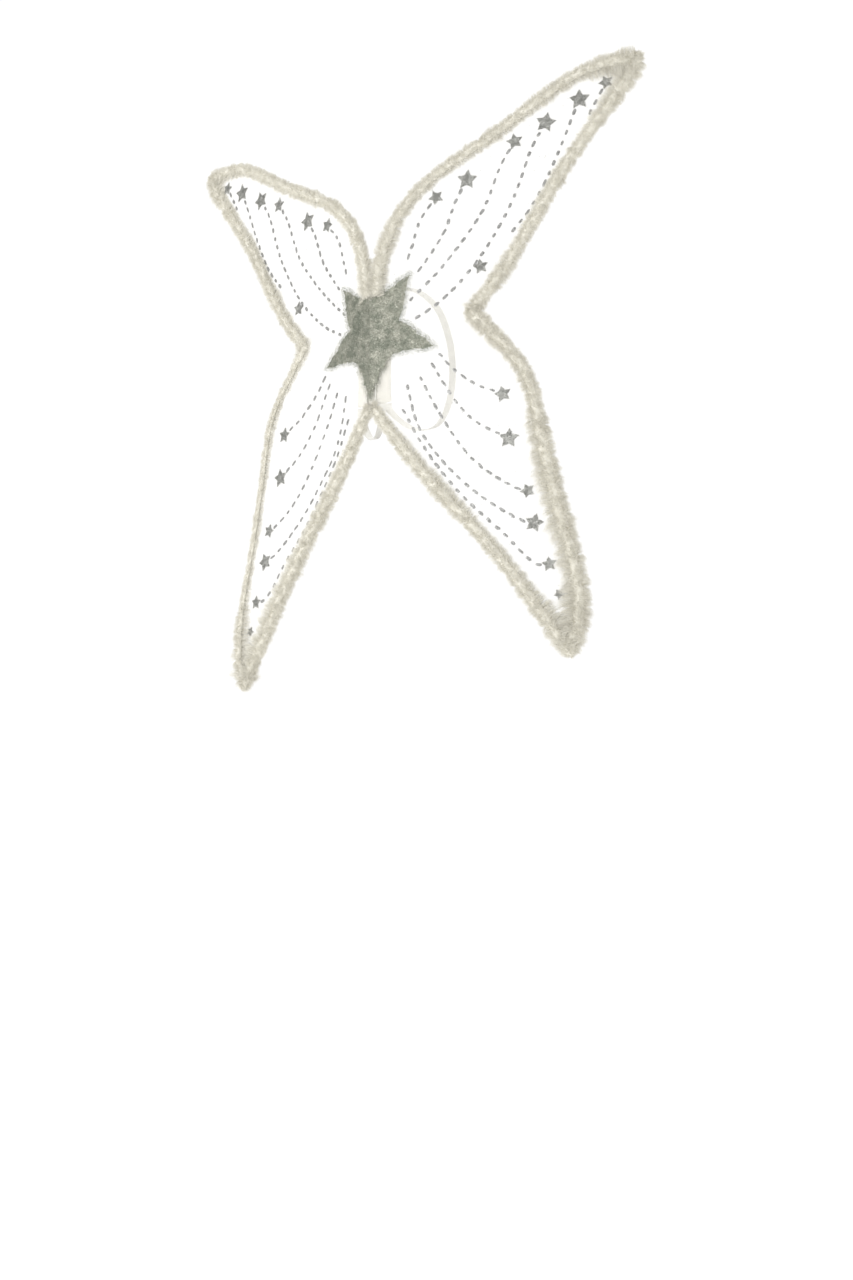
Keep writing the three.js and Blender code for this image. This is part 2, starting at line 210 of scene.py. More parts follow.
def ring_faces(rings, sides, closed):
    """Quads between neighbouring rings of points, round and round."""
    a = np.arange(rings if closed else rings - 1)[:, None] * sides
    b = (a + sides) % (rings * sides)
    j = np.arange(sides)[None, :]
    k = (j + 1) % sides
    return np.stack([a + j, a + k, b + k, b + j], -1).reshape(-1, 4)


def join_faces(*groups):
    """Point and face arrays of several bodies as one."""
    points, faces, total = [], [], 0
    for body_points, body_faces in groups:
        points.append(np.asarray(body_points, float).reshape(-1, 3))
        faces.append(np.asarray(body_faces) + total)
        total += len(points[-1])
    return np.vstack(points), np.vstack(faces)


def as_triangles(quads):
    """Each quad as two triangles."""
    quads = np.asarray(quads)
    return np.vstack([quads[:, [0, 1, 2]], quads[:, [0, 2, 3]]])


def unit(vectors):
    """Vectors of length one."""
    return vectors / np.maximum(np.linalg.norm(vectors, axis=-1, keepdims=True), 1e-12)


# %% [markdown]
# ## Shared effects
# Three effects come back in several finishes, so each is a node group with its own inputs:
# fibre_tone gives the soft uneven colour of fluff, felt and elastic, weave gives crossing threads,
# and glitter_cells breaks a surface into small flakes of many silvers, the darker of them painted
# shade for flakes that lie in the shadow of their neighbours, with larger blotches over them. A group
# gives out only colours and values. The shader stays in each material.

# %% Node helpers
def new_group(name, inputs, outputs):
    """A shader node group with typed sockets, and its two end nodes."""
    tree = bpy.data.node_groups.new(name, "ShaderNodeTree")
    for socket, kind, value in inputs:
        made = tree.interface.new_socket(socket, in_out="INPUT", socket_type=f"NodeSocket{kind}")
        made.default_value = value
    for socket, kind in outputs:
        tree.interface.new_socket(socket, in_out="OUTPUT", socket_type=f"NodeSocket{kind}")
    return tree, tree.nodes.new("NodeGroupInput"), tree.nodes.new("NodeGroupOutput")


def add_node(tree, kind, values=None, **settings):
    """A node with its settings, and with values or links for its sockets."""
    node = tree.nodes.new(kind)
    for name, value in settings.items():
        setattr(node, name, value)
    for socket, value in (values or {}).items():
        if isinstance(value, bpy.types.NodeSocket):
            tree.links.new(value, node.inputs[socket])
        else:
            node.inputs[socket].default_value = value
    return node


def mix_colours(tree, factor, first, second, blend="MIX"):
    """The colour between two colours."""
    node = add_node(tree, "ShaderNodeMix", data_type="RGBA", blend_type=blend)
    for socket, value in ((0, factor), (6, first), (7, second)):
        if isinstance(value, bpy.types.NodeSocket):
            tree.links.new(value, node.inputs[socket])
        else:
            node.inputs[socket].default_value = value
    return node.outputs[2]


def object_places(tree):
    """The object's own coordinates, in metres."""
    return tree.nodes.new("ShaderNodeTexCoord").outputs["Object"]


# %% The fibre tone group
def make_fibre_tone():
    tree, entry, result = new_group(
        "fibre_tone",
        [("Light", "Color", (0.8, 0.8, 0.8, 1)), ("Deep", "Color", (0.5, 0.5, 0.5, 1)),
         ("Patch Scale", "Float", 60.0), ("Fibre Scale", "Float", 900.0), ("Roughness", "Float", 0.9)],
        [("Colour", "Color"), ("Roughness", "Float"), ("Height", "Float")],
    )
    places = object_places(tree)
    patches = add_node(tree, "ShaderNodeTexNoise", {
        "Vector": places, "Scale": entry.outputs["Patch Scale"], "Detail": 3.0, "Roughness": 0.6})
    fibres = add_node(tree, "ShaderNodeTexNoise", {
        "Vector": places, "Scale": entry.outputs["Fibre Scale"], "Detail": 2.0, "Roughness": 0.5})
    both = add_node(tree, "ShaderNodeMath", {
        0: patches.outputs["Fac"], 1: fibres.outputs["Fac"]}, operation="ADD")
    spread = add_node(tree, "ShaderNodeMapRange", {
        "Value": both.outputs[0], "From Min": 0.72, "From Max": 1.28, "To Min": 0.0, "To Max": 1.0})
    colour = mix_colours(tree, spread.outputs["Result"], entry.outputs["Deep"], entry.outputs["Light"])
    rough = add_node(tree, "ShaderNodeMath", {
        0: fibres.outputs["Fac"], 1: 0.2, 2: entry.outputs["Roughness"]}, operation="MULTIPLY_ADD")
    tree.links.new(colour, result.inputs["Colour"])
    tree.links.new(rough.outputs[0], result.inputs["Roughness"])
    tree.links.new(fibres.outputs["Fac"], result.inputs["Height"])
    return tree


# %% The weave group
def make_weave():
    tree, entry, result = new_group(
        "weave",
        [("Thread", "Color", (0.9, 0.9, 0.9, 1)), ("Gap", "Color", (0.7, 0.7, 0.7, 1)),
         ("Threads per Metre", "Float", 1200.0), ("Unevenness", "Float", 1.0)],
        [("Colour", "Color"), ("Height", "Float"), ("Cover", "Float")],
    )
    places = object_places(tree)
    # Threads run up and along the cloth: the place along it is out of x and y together
    split = add_node(tree, "ShaderNodeSeparateXYZ", {"Vector": places})
    side = add_node(tree, "ShaderNodeMath", {0: split.outputs["X"]}, operation="ABSOLUTE")
    flat_x = add_node(tree, "ShaderNodeMath", {
        0: side.outputs[0], 1: math.cos(SWEEP)}, operation="MULTIPLY")
    flat = add_node(tree, "ShaderNodeMath", {
        0: split.outputs["Y"], 1: math.sin(SWEEP), 2: flat_x.outputs[0]}, operation="MULTIPLY_ADD")
    turns = add_node(tree, "ShaderNodeMath", {
        0: entry.outputs["Threads per Metre"], 1: 2 * math.pi}, operation="MULTIPLY")
    waves = []
    for place in (flat.outputs[0], split.outputs["Z"]):
        phase = add_node(tree, "ShaderNodeMath", {0: place, 1: turns.outputs[0]}, operation="MULTIPLY")
        wave = add_node(tree, "ShaderNodeMath", {0: phase.outputs[0]}, operation="SINE")
        waves.append(wave.outputs[0])
    crossing = add_node(tree, "ShaderNodeMath", {0: waves[0], 1: waves[1]}, operation="MAXIMUM")
    slubs = add_node(tree, "ShaderNodeTexNoise", {"Vector": places, "Scale": 45.0, "Detail": 4.0})
    uneven = add_node(tree, "ShaderNodeMath", {
        0: slubs.outputs["Fac"], 1: entry.outputs["Unevenness"]}, operation="MULTIPLY")
    raised = add_node(tree, "ShaderNodeMath", {
        0: crossing.outputs[0], 1: 0.5, 2: uneven.outputs[0]}, operation="MULTIPLY_ADD")
    cover = add_node(tree, "ShaderNodeMapRange", {
        "Value": raised.outputs[0], "From Min": -0.2, "From Max": 1.2, "To Min": 0.0, "To Max": 1.0})
    colour = mix_colours(tree, cover.outputs["Result"], entry.outputs["Gap"], entry.outputs["Thread"])
    tree.links.new(colour, result.inputs["Colour"])
    tree.links.new(raised.outputs[0], result.inputs["Height"])
    tree.links.new(cover.outputs["Result"], result.inputs["Cover"])
    return tree


# %% The glitter cells group
def make_glitter_cells():
    tree, entry, result = new_group(
        "glitter_cells",
        [("Bright", "Color", (0.6, 0.6, 0.56, 1)), ("Dark", "Color", (0.12, 0.13, 0.11, 1)),
         ("Blotch", "Color", (0.3, 0.34, 0.28, 1)), ("Flakes per Metre", "Float", 1000.0),
         ("Blotch Scale", "Float", 130.0), ("Blotch Share", "Float", 0.5)],
        [("Colour", "Color"), ("Roughness", "Float"), ("Height", "Float")],
    )
    places = object_places(tree)
    cells = add_node(tree, "ShaderNodeTexVoronoi", {
        "Vector": places, "Scale": entry.outputs["Flakes per Metre"]}, feature="F1")
    tone = add_node(tree, "ShaderNodeSeparateColor", {"Color": cells.outputs["Color"]})
    # each flake takes a tone from Dark to Bright; the dark tones are painted shade, for flakes shaded by
    # their neighbours
    flake = mix_colours(tree, tone.outputs["Red"], entry.outputs["Dark"], entry.outputs["Bright"])
    blotches = add_node(tree, "ShaderNodeTexNoise", {
        "Vector": places, "Scale": entry.outputs["Blotch Scale"], "Detail": 2.5, "Roughness": 0.6})
    area = add_node(tree, "ShaderNodeMapRange", {
        "Value": blotches.outputs["Fac"], "From Min": 0.4, "From Max": 0.62, "To Min": 0.0, "To Max": 1.0})
    amount = add_node(tree, "ShaderNodeMath", {
        0: area.outputs["Result"], 1: entry.outputs["Blotch Share"]}, operation="MULTIPLY")
    colour = mix_colours(tree, amount.outputs[0], flake, entry.outputs["Blotch"])
    rough = add_node(tree, "ShaderNodeMapRange", {
        "Value": tone.outputs["Green"], "From Min": 0.0, "From Max": 1.0, "To Min": 0.18, "To Max": 0.5})
    tree.links.new(colour, result.inputs["Colour"])
    tree.links.new(rough.outputs["Result"], result.inputs["Roughness"])
    tree.links.new(tone.outputs["Blue"], result.inputs["Height"])
    return tree


GROUPS = {"fibre_tone": make_fibre_tone(), "weave": make_weave(), "glitter_cells": make_glitter_cells()}
print("node groups:", ", ".join(GROUPS))


# %% [markdown]
# ## Finishes
# Each finish is a material round one Principled shader. Colours come from the groups, so that
# nothing shows one flat tone. Values that are the same all over, such as the sheen of the fluff, are
# set on the shader itself. The fluff also has a faint glow of its own, which stands for the light
# that bounces on between pale fibres and would take many more bounces to render.


# %% Material helpers
def new_material(name, **values):
    """A material with one Principled shader, and values set on its sockets."""
    material = bpy.data.materials.new(name)
    material.use_nodes = True
    shader = material.node_tree.nodes["Principled BSDF"]
    for socket, value in values.items():
        shader.inputs[socket.replace("_", " ")].default_value = value
    return material, material.node_tree, shader


def use_group(tree, name, **values):
    """A shared effect placed in a material with its own values."""
    node = tree.nodes.new("ShaderNodeGroup")
    node.node_tree = GROUPS[name]
    for socket, value in values.items():
        node.inputs[socket.replace("_", " ")].default_value = value
    return node


def add_bump(tree, shader, height, strength, distance):
    """A bump from a height, into the shader's normal."""
    bump = add_node(tree, "ShaderNodeBump", {"Height": height, "Strength": strength, "Distance": distance})
    tree.links.new(bump.outputs["Normal"], shader.inputs["Normal"])


# %% The finishes
FLUFF_GLOW = 0.07  # as a share of its pale colour


def make_fluff(name, light, deep):
    material, tree, shader = new_material(
        name, Sheen_Weight=0.25, Sheen_Roughness=0.6, Specular_IOR_Level=0.15,
        Emission_Color=light, Emission_Strength=FLUFF_GLOW)
    tone = use_group(tree, "fibre_tone", Light=light, Deep=deep, Patch_Scale=55.0,
                     Fibre_Scale=700.0, Roughness=0.8)
    tree.links.new(tone.outputs["Colour"], shader.inputs["Base Color"])
    tree.links.new(tone.outputs["Roughness"], shader.inputs["Roughness"])
    return material


def make_sheer():
    material, tree, shader = new_material("sheer_cloth", Roughness=0.55, Specular_IOR_Level=0.3)
    threads = use_group(tree, "weave", Thread=(0.9, 0.885, 0.84, 1), Gap=(0.8, 0.79, 0.74, 1),
                        Threads_per_Metre=620.0, Unevenness=1.0)
    see = add_node(tree, "ShaderNodeMapRange", {
        "Value": threads.outputs["Cover"], "From Min": 0.0, "From Max": 1.0, "To Min": 0.1, "To Max": 0.26})
    tree.links.new(threads.outputs["Colour"], shader.inputs["Base Color"])
    tree.links.new(see.outputs["Result"], shader.inputs["Alpha"])
    add_bump(tree, shader, threads.outputs["Height"], 0.25, 0.0003)
    return material


def make_glitter(name, bright, dark, blotch, share, blotch_scale=130.0):
    material, tree, shader = new_material(name, Metallic=0.35, Specular_IOR_Level=0.6)
    cells = use_group(tree, "glitter_cells", Bright=bright, Dark=dark, Blotch=blotch,
                      Blotch_Share=share, Blotch_Scale=blotch_scale)
    tree.links.new(cells.outputs["Colour"], shader.inputs["Base Color"])
    tree.links.new(cells.outputs["Roughness"], shader.inputs["Roughness"])
    add_bump(tree, shader, cells.outputs["Height"], 0.4, 0.0004)
    return material


def make_covered_wire():
    material, tree, shader = new_material("covered_wire", Specular_IOR_Level=0.3)
    tone = use_group(tree, "fibre_tone", Light=(0.86, 0.85, 0.8, 1), Deep=(0.68, 0.67, 0.62, 1),
                     Patch_Scale=90.0, Fibre_Scale=1500.0, Roughness=0.5)
    tree.links.new(tone.outputs["Colour"], shader.inputs["Base Color"])
    tree.links.new(tone.outputs["Roughness"], shader.inputs["Roughness"])
    return material


def make_pad_felt():
    material, tree, shader = new_material("pad_felt", Sheen_Weight=0.3, Specular_IOR_Level=0.2)
    tone = use_group(tree, "fibre_tone", Light=(0.84, 0.82, 0.76, 1), Deep=(0.7, 0.68, 0.62, 1),
                     Patch_Scale=70.0, Fibre_Scale=1100.0, Roughness=0.8)
    threads = use_group(tree, "weave", Threads_per_Metre=900.0, Unevenness=1.0)
    tree.links.new(tone.outputs["Colour"], shader.inputs["Base Color"])
    tree.links.new(tone.outputs["Roughness"], shader.inputs["Roughness"])
    add_bump(tree, shader, threads.outputs["Height"], 0.35, 0.0004)
    return material


def make_elastic():
    material, tree, shader = new_material("white_elastic", Roughness=0.75, Specular_IOR_Level=0.25)
    threads = use_group(tree, "weave", Thread=(0.87, 0.86, 0.82, 1), Gap=(0.66, 0.65, 0.61, 1),
                        Threads_per_Metre=1500.0, Unevenness=0.9)
    tree.links.new(threads.outputs["Colour"], shader.inputs["Base Color"])
    add_bump(tree, shader, threads.outputs["Height"], 0.3, 0.0003)
    return material


def make_thread():
    material, tree, shader = new_material("sewing_thread", Specular_IOR_Level=0.35)
    tone = use_group(tree, "fibre_tone", Light=(0.9, 0.89, 0.85, 1), Deep=(0.76, 0.75, 0.7, 1),
                     Patch_Scale=200.0, Fibre_Scale=2500.0, Roughness=0.5)
    tree.links.new(tone.outputs["Colour"], shader.inputs["Base Color"])
    tree.links.new(tone.outputs["Roughness"], shader.inputs["Roughness"])
    return material


FLUFF = make_fluff("fluffy_trim", (0.75, 0.73, 0.658, 1), (0.64, 0.615, 0.535, 1))
BACKING = make_fluff("fluff_backing", (0.73, 0.71, 0.638, 1), (0.65, 0.628, 0.55, 1))
SHEER = make_sheer()
# the second colour of each glitter is its darkest flakes' tone, painted shade between flakes
STAR_GLITTER = make_glitter("star_glitter", (0.52, 0.51, 0.435, 1), (0.25, 0.26, 0.205, 1),
                            (0.16, 0.18, 0.135, 1), 0.72, 60.0)
SMALL_GLITTER = make_glitter("small_star_glitter", (0.62, 0.62, 0.585, 1), (0.15, 0.15, 0.135, 1),
                             (0.17, 0.17, 0.155, 1), 0.75)
RAY_GLITTER = make_glitter("ray_glitter", (0.5, 0.5, 0.49, 1), (0.15, 0.15, 0.145, 1),
                           (0.23, 0.23, 0.22, 1), 0.5)
COVERED_WIRE = make_covered_wire()
PAD_FELT = make_pad_felt()
ELASTIC = make_elastic()
THREAD = make_thread()
print("finishes:", len(bpy.data.materials))

# %% [markdown]
# ## Covered wire
# The frame of a half is one closed loop of steel wire in a white cover. It could be a curve with a
# bevel, but the loop turns sharply at the tips, where a bevelled curve pinches. Rings of points that
# lean with the corner keep it round, so it is built ring by ring.


# %% Covered wire
def closed_outline(step):
    """The wire's line round a half, its direction, and the way out of it, longer at a corner."""
    rows = []
    for name in EDGES:
        path = PATHS[name][0]
        rows.append(even_steps(path, step)[0][:-1])
    rows.append(np.array([CORNERS["fold_foot"]]))
    fold = np.linspace(CORNERS["fold_foot"], CORNERS["fold_top"], 24)[1:-1]
    line = np.vstack(rows + [fold])
    arriving = unit(line - np.roll(line, 1, 0))
    leaving = unit(np.roll(line, -1, 0) - line)
    ahead = unit(arriving + leaving)
    stretch = 1 / np.maximum(np.sum(arriving * ahead, -1, keepdims=True), 0.2)
    return line, ahead, np.stack([-ahead[:, 1], ahead[:, 0]], -1) * stretch


def make_wire(side, hand):
    line, _, across = closed_outline(6 * MM)
    sides = 12
    turn = np.linspace(0, 2 * math.pi, sides, endpoint=False)
    u = np.cos(turn) * WIRE / 2
    w = np.sin(turn) * WIRE / 2
    spots = line[:, None, :] + across[:, None, :] * u[None, :, None]
    points = on_wings(hand, spots[..., 0], spots[..., 1], w[None, :])
    return new_piece(f"covered_wire_{side}", points.reshape(-1, 3), ring_faces(len(line), sides, True),
                     COVERED_WIRE, [f"frame_wire_{side}"])


WIRES = {side: make_wire(side, hand) for side, hand in HANDS.items()}
print("covered wires:", [len(piece.data.polygons) for piece in WIRES.values()])

# %% [markdown]
# ## Where the small stars lie
# Each small star stands in from an edge by as much as the trim there, its own radius and a gap. The
# cloth stays flat under the stars, because it is glued to them, so their places come before the cloth.

# %% Places of the small stars
# Edge, place along, share of the gap, share of the size, turn in degrees
SMALL_STARS = {
    "upper": [
        ("upper_top", 0.91, 0.1, 0.7, 20), ("upper_top", 0.81, 0.5, 1, 0),
        ("upper_top", 0.695, 0.4, 1, -14), ("upper_top", 0.6, 0.15, 0.8, 10),
        ("upper_top", 0.44, 0.5, 1, -6), ("upper_top", 0.335, 0.1, 0.75, 25),
        ("upper_low", 0.86, 0.2, 0.75, 8),
    ],
    "lower": [
        ("lower_out", 0.27, 0.85, 0.8, 12), ("lower_out", 0.4, 1, 0.95, -5),
        ("lower_out", 0.55, 0.5, 0.7, 22), ("lower_out", 0.635, 0.45, 0.9, -16),
        ("lower_out", 0.755, 0.3, 0.7, 6), ("lower_out", 0.845, 0.05, 0.5, 30),
    ],
}


def star_place(edge, share, gap, size):
    """The middle of a small star, out and up."""
    path, along, radius = PATHS[edge]
    here = share * along[-1]
    place = np.array([np.interp(here, along, column) for column in path.T])
    ahead = directions(path)
    tangent = unit(np.array([np.interp(here, along, column) for column in ahead.T]))
    locks = np.interp(here, along, radius) * (1 + LOCK_DEPTH)
    inset = locks + SMALL_STAR * size + gap * SMALL_STAR_GAP
    return place + np.array([tangent[1], -tangent[0]]) * inset


STAR_MIDDLES = np.array([
    star_place(edge, share, gap, size)
    for rows in SMALL_STARS.values() for edge, share, gap, size, _ in rows
])
STAR_SIZES = [size * SMALL_STAR for rows in SMALL_STARS.values() for _, _, _, size, _ in rows]
print("small stars on a half:", len(STAR_MIDDLES))

# %% [markdown]
# ## Sheer cloth
# The cloth of a half is held all round by the wire, so it is stretched, with small puckers where it
# is sewn and long soft waves between. A cloth simulation would only flatten it. The puckers follow
# the line of the wire, so they are worked out point by point from how near the wire is. The sheet
# is made of even triangles inside the outline, with a back a hair behind the front.


# %% The form of the cloth
CLOTH = 0.4 * MM
CLOTH_SEED = 11
CALM_BY_STAR = 18 * MM  # so far from a star's middle the cloth is flat
STAR_FADE = 22 * MM  # and past that its waves come in over this distance
CALM_OUT = 36 * MM  # beside the pad, from the fold out
CALM_UP = 92 * MM  # and up or down from the pad's middle
PAD_FADE = 30 * MM
OUTLINE, _, OUTLINE_ACROSS = closed_outline(4 * MM)
OUTLINE_ALONG = np.concatenate([[0], np.cumsum(np.linalg.norm(np.diff(OUTLINE, axis=0), axis=1))])


def near_outline(places):
    """For each place, how far the wire is and how far round the outline it lies."""
    far = np.empty(len(places))
    along = np.empty(len(places))
    for first in range(0, len(places), 2000):
        part = places[first:first + 2000]
        gaps = np.linalg.norm(part[:, None, :] - OUTLINE[None, :, :], axis=-1)
        nearest = gaps.argmin(1)
        far[first:first + 2000] = gaps[np.arange(len(part)), nearest]
        along[first:first + 2000] = OUTLINE_ALONG[nearest]
    return far, along


def calm_places(places):
    """0 where the cloth has to lie flat, under stars and by the pad, and 1 away from them."""
    gaps = np.linalg.norm(places[:, None, :] - STAR_MIDDLES[None, :, :], axis=-1).min(1)
    under_star = np.clip((gaps - CALM_BY_STAR) / STAR_FADE, 0, 1)
    beside = np.clip((places[:, 0] - CALM_OUT) / PAD_FADE, 0, 1)
    beyond = np.clip((np.abs(places[:, 1]) - CALM_UP) / PAD_FADE, 0, 1)
    return under_star * np.maximum(beside, beyond)


def cloth_stand(places, hand):
    """How far the middle of the cloth stands in front of its flat plane, the same for all that
    lies on the cloth of one half."""
    rng = np.random.default_rng(CLOTH_SEED + hand)
    far, along = near_outline(places)
    waves = np.zeros(len(places))
    for length, height in ((170, 0.55), (110, 0.35), (64, 0.22)):
        heading = rng.uniform(0, math.pi)
        across = places @ np.array([math.cos(heading), math.sin(heading)])
        waves += height * MM * np.sin(2 * math.pi * across / (length * MM) + rng.uniform(0, 6))
    shift = 3 * np.sin(along / (37 * MM)) + 2 * np.sin(along / (13.7 * MM))
    pucker = np.sin(2 * math.pi * along / (21 * MM) + shift) * np.exp(-far / (16 * MM))
    edge = np.clip((far - SLOT) / (9 * MM), 0, 1)
    stand = (waves - 0.9 * MM + 0.8 * MM * pucker) * edge * calm_places(places)
    return np.minimum(stand, 0.1 * MM)


# %% Making the cloth
def inside_polygon(places, polygon):
    """Which places lie inside a closed polygon."""
    inside = np.zeros(len(places), bool)
    for (ax, ay), (bx, by) in zip(polygon, np.roll(polygon, -1, 0)):
        crosses = (ay > places[:, 1]) != (by > places[:, 1])
        if ay == by:
            continue
        at = ax + (places[:, 1] - ay) / (by - ay) * (bx - ax)
        inside ^= crosses & (places[:, 0] < at)
    return inside


def fill_flat(rim, spacing, margin):
    """Even triangles inside a rim: all places, rim first, and the triangles."""
    low, high = rim.min(0), rim.max(0)
    rows = np.arange(low[1], high[1], spacing * math.sqrt(3) / 2)
    grid = np.vstack([
        np.stack([np.arange(low[0], high[0], spacing) + (i % 2) * spacing / 2,
                  np.full(len(np.arange(low[0], high[0], spacing)), up)], -1)
        for i, up in enumerate(rows)
    ])
    grid = grid[inside_polygon(grid, rim)]
    gaps = np.concatenate([
        np.linalg.norm(part[:, None, :] - rim[None, :, :], axis=-1).min(1)
        for part in np.array_split(grid, max(1, len(grid) // 1500))
    ])
    places = np.vstack([rim, grid[gaps > margin]])
    count = len(rim)
    corners = [Vector(place) for place in places]
    edges = [(i, (i + 1) % count) for i in range(count)]
    out, _, faces, _, _, _ = delaunay_2d_cdt(corners, edges, [], 1, 1e-7)
    return np.array([tuple(v) for v in out]), np.array([f for f in faces if len(f) == 3])


def thin_sheet(rim_count, front, back, faces):
    """A closed thin sheet from the points of its front and back, with the rim's points first."""
    count = len(front)
    j = np.arange(rim_count)
    k = (j + 1) % rim_count
    wall = as_triangles(np.stack([j, k, k + count, j + count], -1))
    return np.vstack([front, back]), np.vstack([faces, faces[:, ::-1] + count, wall])


CLOTH_RIM = OUTLINE - OUTLINE_ACROSS * SLOT
CLOTH_PLACES, CLOTH_FACES = fill_flat(CLOTH_RIM, 5 * MM, 2.5 * MM)


def make_cloth(side, hand):
    stand = cloth_stand(CLOTH_PLACES, hand)
    out, up = CLOTH_PLACES.T
    front = on_wings(hand, out, up, stand + CLOTH / 2)
    back = on_wings(hand, out, up, stand - CLOTH / 2)
    points, faces = thin_sheet(len(CLOTH_RIM), front, back, CLOTH_FACES)
    return new_piece(f"sheer_cloth_{side}", points, faces if hand < 0 else faces[:, ::-1],
                     SHEER, [f"membrane_{side}"])


CLOTHS = {side: make_cloth(side, hand) for side, hand in HANDS.items()}

# %% [markdown]
# ## Glitter stars
# A star is a thin plate cut by hand and covered in loose glitter, so its edge is ragged and its face
# is all small tilted flakes. The flakes could be painted by a texture alone, but then the outline
# stays clean and the light never breaks up. So each star is a bumpy plate with real flakes strewn
# over it and a little past its edge, joined into one mesh.


# %% Star helpers
FLAKES_PER_AREA = 1.5e6  # on a square metre of a star


def star_rim(radius, dent, turn, step, ragged, rng, wander=0.0):
    """A five-pointed outline with a point every step, moved a little in and out, and by more over
    longer stretches where it wanders."""
    angles = turn + np.arange(10) / 10 * 2 * math.pi
    reach = np.where(np.arange(10) % 2, dent, radius)
    corners = np.stack([reach * np.cos(angles), reach * np.sin(angles)], -1)
    rim = []
    for a, b in zip(corners, np.roll(corners, -1, 0)):
        count = max(2, round(np.linalg.norm(b - a) / step))
        rim.append(a + (b - a) * np.linspace(0, 1, count, endpoint=False)[:, None])
    rim = np.vstack(rim)
    knots = np.arange(0, len(rim) + 5, 4)
    slow = np.interp(np.arange(len(rim)), knots, rng.uniform(-1, 0.6, len(rim) // 4 + 2))
    shift = rng.normal(0, ragged, len(rim)) + wander * slow
    return rim * (1 + shift / np.linalg.norm(rim, axis=1))[:, None]


def strewn(rim, per_area, reach, rng):
    """Random places inside a rim, and up to a reach outside it."""
    low, high = rim.min(0) - reach, rim.max(0) + reach
    count = int(per_area * np.prod(high - low))
    places = rng.uniform(low, high, (count, 2))
    inside = inside_polygon(places, rim)
    loose = places[~inside]
    if len(loose):
        gaps = np.concatenate([
            np.linalg.norm(part[:, None, :] - rim[None, :, :], axis=-1).min(1)
            for part in np.array_split(loose, max(1, len(loose) // 1500))
        ])
        loose = loose[gaps < reach * rng.uniform(0, 1, len(loose))]
    return np.vstack([places[inside], loose])


def flakes(middles, along_u, along_v, size, tilt, rng):
    """A tilted diamond of two triangles at each middle, in the plane of the two directions."""
    count = len(middles)
    off = np.cross(along_u, along_v)
    spin = rng.uniform(0, math.pi, count)[:, None]
    lean = rng.normal(0, tilt, (count, 2))
    half = rng.uniform(*size, count)[:, None] / 2
    first = along_u * np.cos(spin) + along_v * np.sin(spin) + off * lean[:, :1]
    second = -along_u * np.sin(spin) + along_v * np.cos(spin) + off * lean[:, 1:]
    first, second = unit(first) * half, unit(second) * half * rng.uniform(0.6, 1, count)[:, None]
    points = np.stack([middles - first, middles - second, middles + first, middles + second], 1)
    quads = np.arange(count * 4).reshape(-1, 4)
    return points.reshape(-1, 3), as_triangles(quads)


def half_axes(hand, count):
    """The directions out and up on a half, once for each flake."""
    out = np.tile([hand * math.cos(SWEEP), math.sin(SWEEP), 0.0], (count, 1))
    up = np.tile([0.0, 0.0, 1.0], (count, 1))
    return out, up


# %% The small stars
STAR_BACK = 0.8 * MM  # the small stars' back, in front of the middle of the cloth
STAR_SHEET = 0.8 * MM


def make_small_star(lobe, number, row, side, hand):
    edge, share, gap, size, turn = row
    rng = np.random.default_rng([7, number, hand + 2, len(lobe) + (lobe == "lower")])
    middle = star_place(edge, share, gap, size)
    start = math.pi / 2 + math.radians(turn)
    rim = star_rim(SMALL_STAR * size, SMALL_STAR_DENT * size, start, 0.9 * MM, 0.35 * MM, rng)
    places, faces = fill_flat(rim, 1.3 * MM, 0.6 * MM)
    bump = rng.uniform(0, 0.3, len(places)) * MM
    out, up = (places + middle).T
    face = on_wings(hand, out, up, STAR_BACK + STAR_SHEET - 0.25 * MM + bump)
    back = on_wings(hand, out, up, STAR_BACK)
    points, faces = thin_sheet(len(rim), face, back, faces)
    if hand > 0:
        faces = faces[:, ::-1]
    spots = strewn(rim, FLAKES_PER_AREA, 0.5 * MM, rng) + middle
    stand = STAR_BACK + STAR_SHEET + rng.uniform(-0.1, 0.35, len(spots)) * MM
    loose = flakes(on_wings(hand, spots[:, 0], spots[:, 1], stand), *half_axes(hand, len(spots)),
                   (0.6 * MM, 1.2 * MM), 0.35, rng)
    points, faces = join_faces((points, faces), loose)
    node = f"star_{lobe}_{number}_{side}"
    return new_piece(f"glitter_{node}", points, faces, SMALL_GLITTER, [node], False)


SMALL_PIECES = [
    make_small_star(lobe, i + 1, row, side, hand)
    for side, hand in HANDS.items() for lobe, rows in SMALL_STARS.items() for i, row in enumerate(rows)
]
small_count = sum(len(piece.data.polygons) for piece in SMALL_PIECES)
print("small stars:", len(SMALL_PIECES), "pieces,", small_count, "triangles")

# %% [markdown]
# ## The star over the fold
# The large star is folded down its middle with the wings. Each half of it is filled on the flat,
# bumped, and laid on its own half of the wings, and at the fold the two meet on the centre plane.


# %% The star over the fold
STAR_FACE = SLOT + 2 * MM


def fold_meeting(out, stand):
    """Moves the part by the fold so that both halves meet on the centre plane."""
    near = np.clip(1 - out / (12 * MM), 0, 1)
    return out - stand * math.tan(SWEEP) * near


